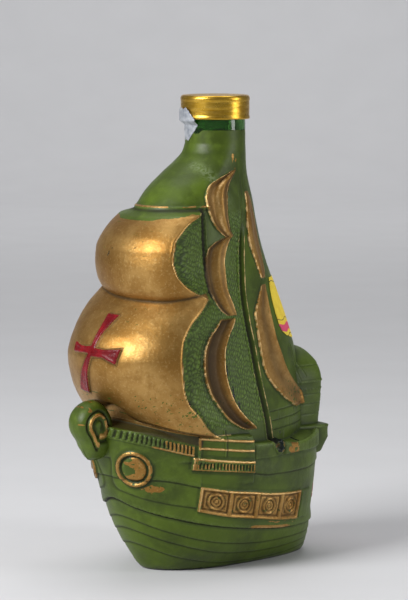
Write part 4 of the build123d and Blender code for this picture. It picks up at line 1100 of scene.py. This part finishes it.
def paint_material():
    g = Graph("painted_glass")
    gold_, red_, wear_and_highlight_, shade_, chip_, bare_ = (g.attr(n_) for n_ in ("gold", "red", "wear_and_highlight", "painted_shade", "chip", "bare"))
    convex_, hollow_, scales_, zone_, sail_shadow_, shoulder_highlight_ = (g.attr(n_) for n_ in ("convex", "hollow", "scales", "inzone", "sail_shadow", "shoulder_highlight"))
    n_big = g.noise(22, 3, 0.5)
    n_mid = g.noise(5, 4, 0.6)
    n_small = g.noise(1.2, 4, 0.65)
    n_fine = g.noise(0.35, 3, 0.6)
    # green paint
    grn = g.mix(g.span(n_big, 0.35, 0.65), lin(54, 69, 9), lin(73, 92, 14))
    grn = g.mix(g.math("MULTIPLY", g.span(n_mid, 0.45, 0.72), 0.50), grn, lin(84, 104, 26))
    grn = g.mix(g.math("MULTIPLY", g.span(n_small, 0.55, 0.8), 0.35), grn, lin(38, 58, 16))
    wear = g.math("MULTIPLY", convex_, g.span(n_small, 0.34, 0.66), True)
    grn = g.mix(g.math("MULTIPLY", wear, 0.36), grn, lin(112, 132, 74))
    grn = g.mix(g.math("MULTIPLY", zone_, g.math("ADD", 0.08, g.math("MULTIPLY", scales_, 0.42))), grn, lin(106, 138, 52))
    # painted shade in the relief's hollows
    grn = g.mix(g.math("MULTIPLY", hollow_, 0.60), grn, lin(24, 38, 8))
    # painted shadow: red-brown band under the sail's foot
    grn = g.mix(g.math("MULTIPLY", sail_shadow_, 0.75), grn, lin(58, 44, 26))
    # painted highlight streak along the shoulder's ridge
    grn = g.mix(g.math("MULTIPLY", shoulder_highlight_, g.math("MULTIPLY", g.span(n_small, 0.38, 0.6), 0.45)), grn, lin(126, 140, 104))
    # bronze gold paint
    gld = g.mix(g.span(n_big, 0.35, 0.68), lin(150, 110, 52), lin(178, 140, 80))
    gld = g.mix(g.math("MULTIPLY", g.span(n_mid, 0.42, 0.7), 0.6), gld, lin(136, 97, 42))
    gld = g.mix(g.math("MULTIPLY", g.span(n_small, 0.5, 0.75), 0.4), gld, lin(208, 176, 118))
    # painted shade in the hollows of the gold
    gld = g.mix(g.math("MULTIPLY", hollow_, 0.65), gld, lin(70, 50, 24))
    gold_m = g.span(g.math("ADD", gold_, g.math("MULTIPLY", g.math("SUBTRACT", n_small, 0.5), 0.55)), 0.38, 0.60)
    col = g.mix(gold_m, grn, gld)
    # cream colour for worn edges and for painted highlights
    wear_and_highlight_m = g.span(g.math("ADD", wear_and_highlight_, g.math("MULTIPLY", g.math("SUBTRACT", n_small, 0.5), 0.6)), 0.30, 0.72)
    col = g.mix(g.math("MULTIPLY", wear_and_highlight_m, 0.85), col, lin(222, 186, 128))
    red_c = g.mix(g.span(n_mid, 0.35, 0.7), lin(92, 3, 10), lin(124, 8, 20))
    red_m = g.span(red_, 0.35, 0.65)
    col = g.mix(red_m, col, red_c)
    chip_m = g.span(g.math("ADD", chip_, g.math("MULTIPLY", g.math("SUBTRACT", n_small, 0.5), 0.7)), 0.45, 0.62)
    col = g.mix(chip_m, col, lin(16, 24, 22))
    # painted shade: dark brown wherever the shade mask is set; metal and roughness follow it below
    col = g.mix(g.math("MULTIPLY", shade_, 0.93), col, lin(22, 17, 5))
    metal = g.math("MULTIPLY", gold_m, 0.88)
    metal = g.math("MULTIPLY", metal, g.math("SUBTRACT", 1.0, g.math("MAXIMUM", chip_m, red_m)), True)
    metal = g.math("MULTIPLY", metal, g.math("SUBTRACT", 1.0, g.math("MULTIPLY", shade_, 0.9)), True)
    rough = g.mixf(gold_m, g.mixf(n_mid, 0.34, 0.52), g.mixf(n_mid, 0.34, 0.52))
    rough = g.mixf(red_m, rough, 0.26)
    rough = g.mixf(chip_m, rough, 0.12)
    rough = g.mixf(g.math("MULTIPLY", hollow_, 0.5), rough, 0.62)
    rough = g.mixf(shade_, rough, 0.80)
    rough = g.math("ADD", rough, g.math("MULTIPLY", g.math("SUBTRACT", n_small, 0.5), 0.16), True)
    bump = g.bump(n_fine, 0.05, 0.55)
    bump = g.bump(n_small, 0.14, 0.6, bump)
    bump = g.bump(g.math("SUBTRACT", 1.0, chip_m), 0.08, 0.8, bump)
    paint = g.shader(color=col, rough=rough, metal=metal, normal=bump, spec=0.26, coat=0.07, coat_rough=0.32)
    bare_c = g.mix(g.span(n_mid, 0.3, 0.7), lin(92, 150, 70), lin(76, 132, 58))
    glass = g.shader(color=bare_c, rough=g.mixf(n_small, 0.02, 0.07), trans=0.93, ior=1.5, normal=g.bump(n_mid, 0.12, 0.5))
    mx = g.node("ShaderNodeMixShader", {0: g.span(g.math("ADD", bare_, g.math("MULTIPLY", g.math("SUBTRACT", n_small, 0.5), 0.3)), 0.42, 0.58), 1: paint, 2: glass})
    return g.done(mx.outputs[0])


def gold_cap():
    g = Graph("gold_cap")
    brush = g.noise(0.5, 4, 0.6, stretch=(0.06, 0.06, 2.2))
    n_mid = g.noise(4, 4, 0.6)
    n_small = g.noise(0.7, 3, 0.6)
    c = g.mix(g.span(n_mid, 0.35, 0.7), lin(198, 156, 48), lin(172, 128, 30))
    c = g.mix(g.math("MULTIPLY", g.span(brush, 0.4, 0.7), 0.5), c, lin(232, 198, 104))
    c = g.mix(g.math("MULTIPLY", g.span(n_small, 0.60, 0.78), 0.55), c, lin(112, 78, 26))
    r = g.math("ADD", g.mixf(n_mid, 0.22, 0.36), g.math("MULTIPLY", g.span(n_small, 0.6, 0.78), 0.25), True)
    nrm = g.bump(brush, 0.05, 0.6)
    nrm = g.bump(n_mid, 0.12, 0.35, nrm)
    return g.done(g.shader(color=c, rough=r, metal=0.95, normal=nrm))


def paper(name, stops, crumple=0.1, rough=(0.55, 0.75), sheen=0.0, metal=0.0, pattern=None):
    g = Graph(name)
    n_mid = g.noise(3.2, 4, 0.6)
    n_small = g.noise(0.5, 4, 0.6)
    c = g.mix(g.span(n_mid, 0.35, 0.7), stops[0], stops[1])
    if pattern:
        c = pattern(g, c)
    c = g.mix(g.math("MULTIPLY", g.span(n_small, 0.55, 0.8), 0.3), c, stops[2])
    nrm = g.bump(n_small, 0.04, 0.6)
    nrm = g.bump(n_mid, crumple * 1.4, 0.8, nrm)
    return g.done(g.shader(color=c, rough=g.mixf(n_mid, *rough), metal=metal, normal=nrm, sheen=sheen))


def yellow_pattern(g, c):
    s_ = g.node("ShaderNodeSeparateXYZ", {0: g.co})
    z_, y_ = s_.outputs[2], s_.outputs[1]
    wav = g.math("MULTIPLY", g.math("SINE", g.math("MULTIPLY", y_, 900.0)), 0.0005)
    zz = g.math("ADD", z_, wav)
    band_ = g.math("MULTIPLY", g.span(zz, 0.1106, 0.1110), g.span(zz, 0.1146, 0.1142), True)
    c = g.mix(band_, c, lin(214, 70, 108))
    for lo, hi in ((0.1084, 0.1089), (0.1164, 0.1168), (0.1345, 0.1350)):
        ln = g.math("MULTIPLY", g.span(zz, lo, lo + 0.0002), g.span(zz, hi + 0.0002, hi), True)
        c = g.mix(g.math("MULTIPLY", ln, 0.85), c, lin(60, 38, 30))
    # a plain round emblem: a ring round a disc
    dy = g.math("MULTIPLY", y_, 1.0)
    dz = g.math("SUBTRACT", z_, 0.1262)
    rad = g.math("SQRT", g.math("ADD", g.math("MULTIPLY", dy, dy), g.math("MULTIPLY", dz, dz)))
    ring_ = g.math("MULTIPLY", g.span(rad, 0.0056, 0.0059), g.span(rad, 0.0068, 0.0065), True)
    c = g.mix(ring_, c, lin(150, 40, 52))
    disc = g.span(rad, 0.0042, 0.0039)
    c = g.mix(disc, c, lin(188, 120, 40))
    return c


def pink_pattern(g, c):
    s_ = g.node("ShaderNodeSeparateXYZ", {0: g.co})
    z_ = s_.outputs[2]
    for lo, hi, col_ in ((0.0300, 0.0308, lin(240, 216, 150)), (0.0456, 0.0464, lin(240, 216, 150)), (0.0352, 0.0412, lin(240, 226, 214))):
        ln = g.math("MULTIPLY", g.span(z_, lo, lo + 0.0002), g.span(z_, hi + 0.0002, hi), True)
        c = g.mix(g.math("MULTIPLY", ln, 0.8), c, col_)
    return c


def cork():
    g = Graph("cork_wad")
    vor = g.node("ShaderNodeTexVoronoi", {"Vector": g.co, "Scale": 900.0}).outputs["Distance"]
    n_ = g.noise(2.5, 4, 0.6)
    c = g.mix(g.span(n_, 0.35, 0.7), lin(176, 132, 86), lin(146, 102, 62))
    c = g.mix(g.span(vor, 0.45, 0.8), c, lin(98, 64, 38))
    return g.done(g.shader(color=c, rough=g.mixf(n_, 0.75, 0.9), normal=g.bump(vor, 0.12, 0.7)))


M = {
    "painted_glass": paint_material(),
    "gold_cap": gold_cap(),
    "cork_wad": cork(),
    "foil_facing": paper("foil_facing", (lin(196, 196, 192), lin(168, 168, 166), lin(120, 118, 112)), 0.05, (0.28, 0.42), metal=0.85),
    "silver_paper": paper("silver_paper", (lin(186, 190, 196), lin(138, 144, 154), lin(222, 214, 190)), 0.30, (0.30, 0.50), metal=0.45),
    "yellow_paper": paper("yellow_paper", (lin(238, 210, 58), lin(226, 194, 50), lin(196, 156, 60)), 0.06, pattern=yellow_pattern),
    "pink_paper": paper("pink_paper", (lin(206, 52, 84), lin(190, 44, 72), lin(150, 60, 70)), 0.06, pattern=pink_pattern),
}
for ob, mat, body, node in ((bottle, "painted_glass", "bottle", "glass_bottle"), (head, "painted_glass", "bottle", "glass_bottle"),
                            (cap, "gold_cap", "cap", "cap_shell"), (liner, "cork_wad", "liner", "cap_liner"),
                            (facing, "foil_facing", "liner", "liner_facing"), (strip, "silver_paper", "bottle", "tax_strip"),
                            (label, "yellow_paper", "bottle", "back_label"), (slabel, "pink_paper", "bottle", "stern_label")):
    ob.data.materials.append(M[mat])
    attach(ob, body)
    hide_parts(node)

# ------------------------------------------------------------ floor, light, camera
AZ = math.radians(39)
f_dir = Vector((math.sin(AZ), math.cos(AZ), 0))
r_dir = Vector((math.cos(AZ), -math.sin(AZ), 0))
prof_ = [(-3.2, 0.0), (0.0, 0.0), (2.3, 0.0)]
for i in range(1, 25):
    a_ = i / 24 * math.pi / 2
    prof_.append((2.3 + 0.9 * math.sin(a_), 0.9 - 0.9 * math.cos(a_)))
prof_.append((3.2, 2.6))
verts, faces = [], []
for k_, (d_, z_) in enumerate(prof_):
    for w_s in (-3.4, 3.4):
        p_ = f_dir * d_ + r_dir * w_s
        verts.append((p_.x, p_.y, z_))
    if k_:
        a_ = 2 * k_
        faces.append((a_ - 2, a_ - 1, a_ + 1, a_))
fm = bpy.data.meshes.new("floor")
fm.from_pydata(verts, [], faces)
fm.polygons.foreach_set("use_smooth", [True] * len(faces))
floor = bpy.data.objects.new("floor", fm)
bpy.context.scene.collection.objects.link(floor)
gf = Graph("floor_paper")
nf_ = gf.noise(60, 3, 0.5)
floor.data.materials.append(gf.done(gf.shader(color=gf.mix(nf_, lin(196, 196, 198), lin(202, 202, 204)), rough=0.85, normal=gf.bump(gf.noise(1.0), 0.02, 0.3))))


def area(name, at_d, at_r, at_z, size, power, target=(0, 0, 0.1), color=(1, 1, 1)):
    L = bpy.data.lights.new(name, "AREA")
    L.shape = "RECTANGLE"
    L.size, L.size_y = size
    L.energy = power
    L.color = color
    o = bpy.data.objects.new(name, L)
    p_ = f_dir * at_d + r_dir * at_r
    o.location = (p_.x, p_.y, at_z)
    o.rotation_mode = "QUATERNION"
    o.rotation_quaternion = (Vector(target) - o.location).to_track_quat("-Z", "Y")
    bpy.context.scene.collection.objects.link(o)


area("key", -0.72, -0.88, 0.80, (0.60, 0.60), 21.0)
area("fill", -0.30, 1.0, 0.40, (0.3, 0.8), 4.4)
area("top", 0.15, 0.0, 1.1, (0.9, 0.6), 4.0)
area("ground", 1.2, 0.0, 1.9, (1.6, 0.5), 5.0, target=tuple(f_dir * 1.6))
area("back", 1.9, 0.0, 1.5, (2.4, 0.6), 17.0, target=tuple(f_dir * 2.9 + Vector((0, 0, 0.2))))
world = bpy.data.worlds.new("soft")
world.use_nodes = True
world.node_tree.nodes["Background"].inputs[0].default_value = (0.80, 0.81, 0.83, 1)
world.node_tree.nodes["Background"].inputs[1].default_value = 0.25
bpy.context.scene.world = world

cam_d = bpy.data.cameras.new("cam")
cam_d.sensor_fit = "VERTICAL"
cam_d.sensor_width = 36.0
cam_d.sensor_height = 36.0
cam_d.lens = 158.4
cam_d.clip_start, cam_d.clip_end = 0.05, 20
cam = bpy.data.objects.new("cam", cam_d)
cam.location = (-0.797, -0.984, 0.269)
yaw, pit = math.atan(10.8 / 2640), math.radians(6.44)
look = (f_dir * math.cos(yaw) - r_dir * math.sin(yaw)) * math.cos(pit) + Vector((0, 0, -math.sin(pit)))
cam.rotation_mode = "QUATERNION"
cam.rotation_quaternion = look.to_track_quat("-Z", "Y")
bpy.context.scene.collection.objects.link(cam)
bpy.context.scene.camera = cam
bpy.context.scene.view_settings.view_transform = "Standard"

bpy.context.view_layer.update()
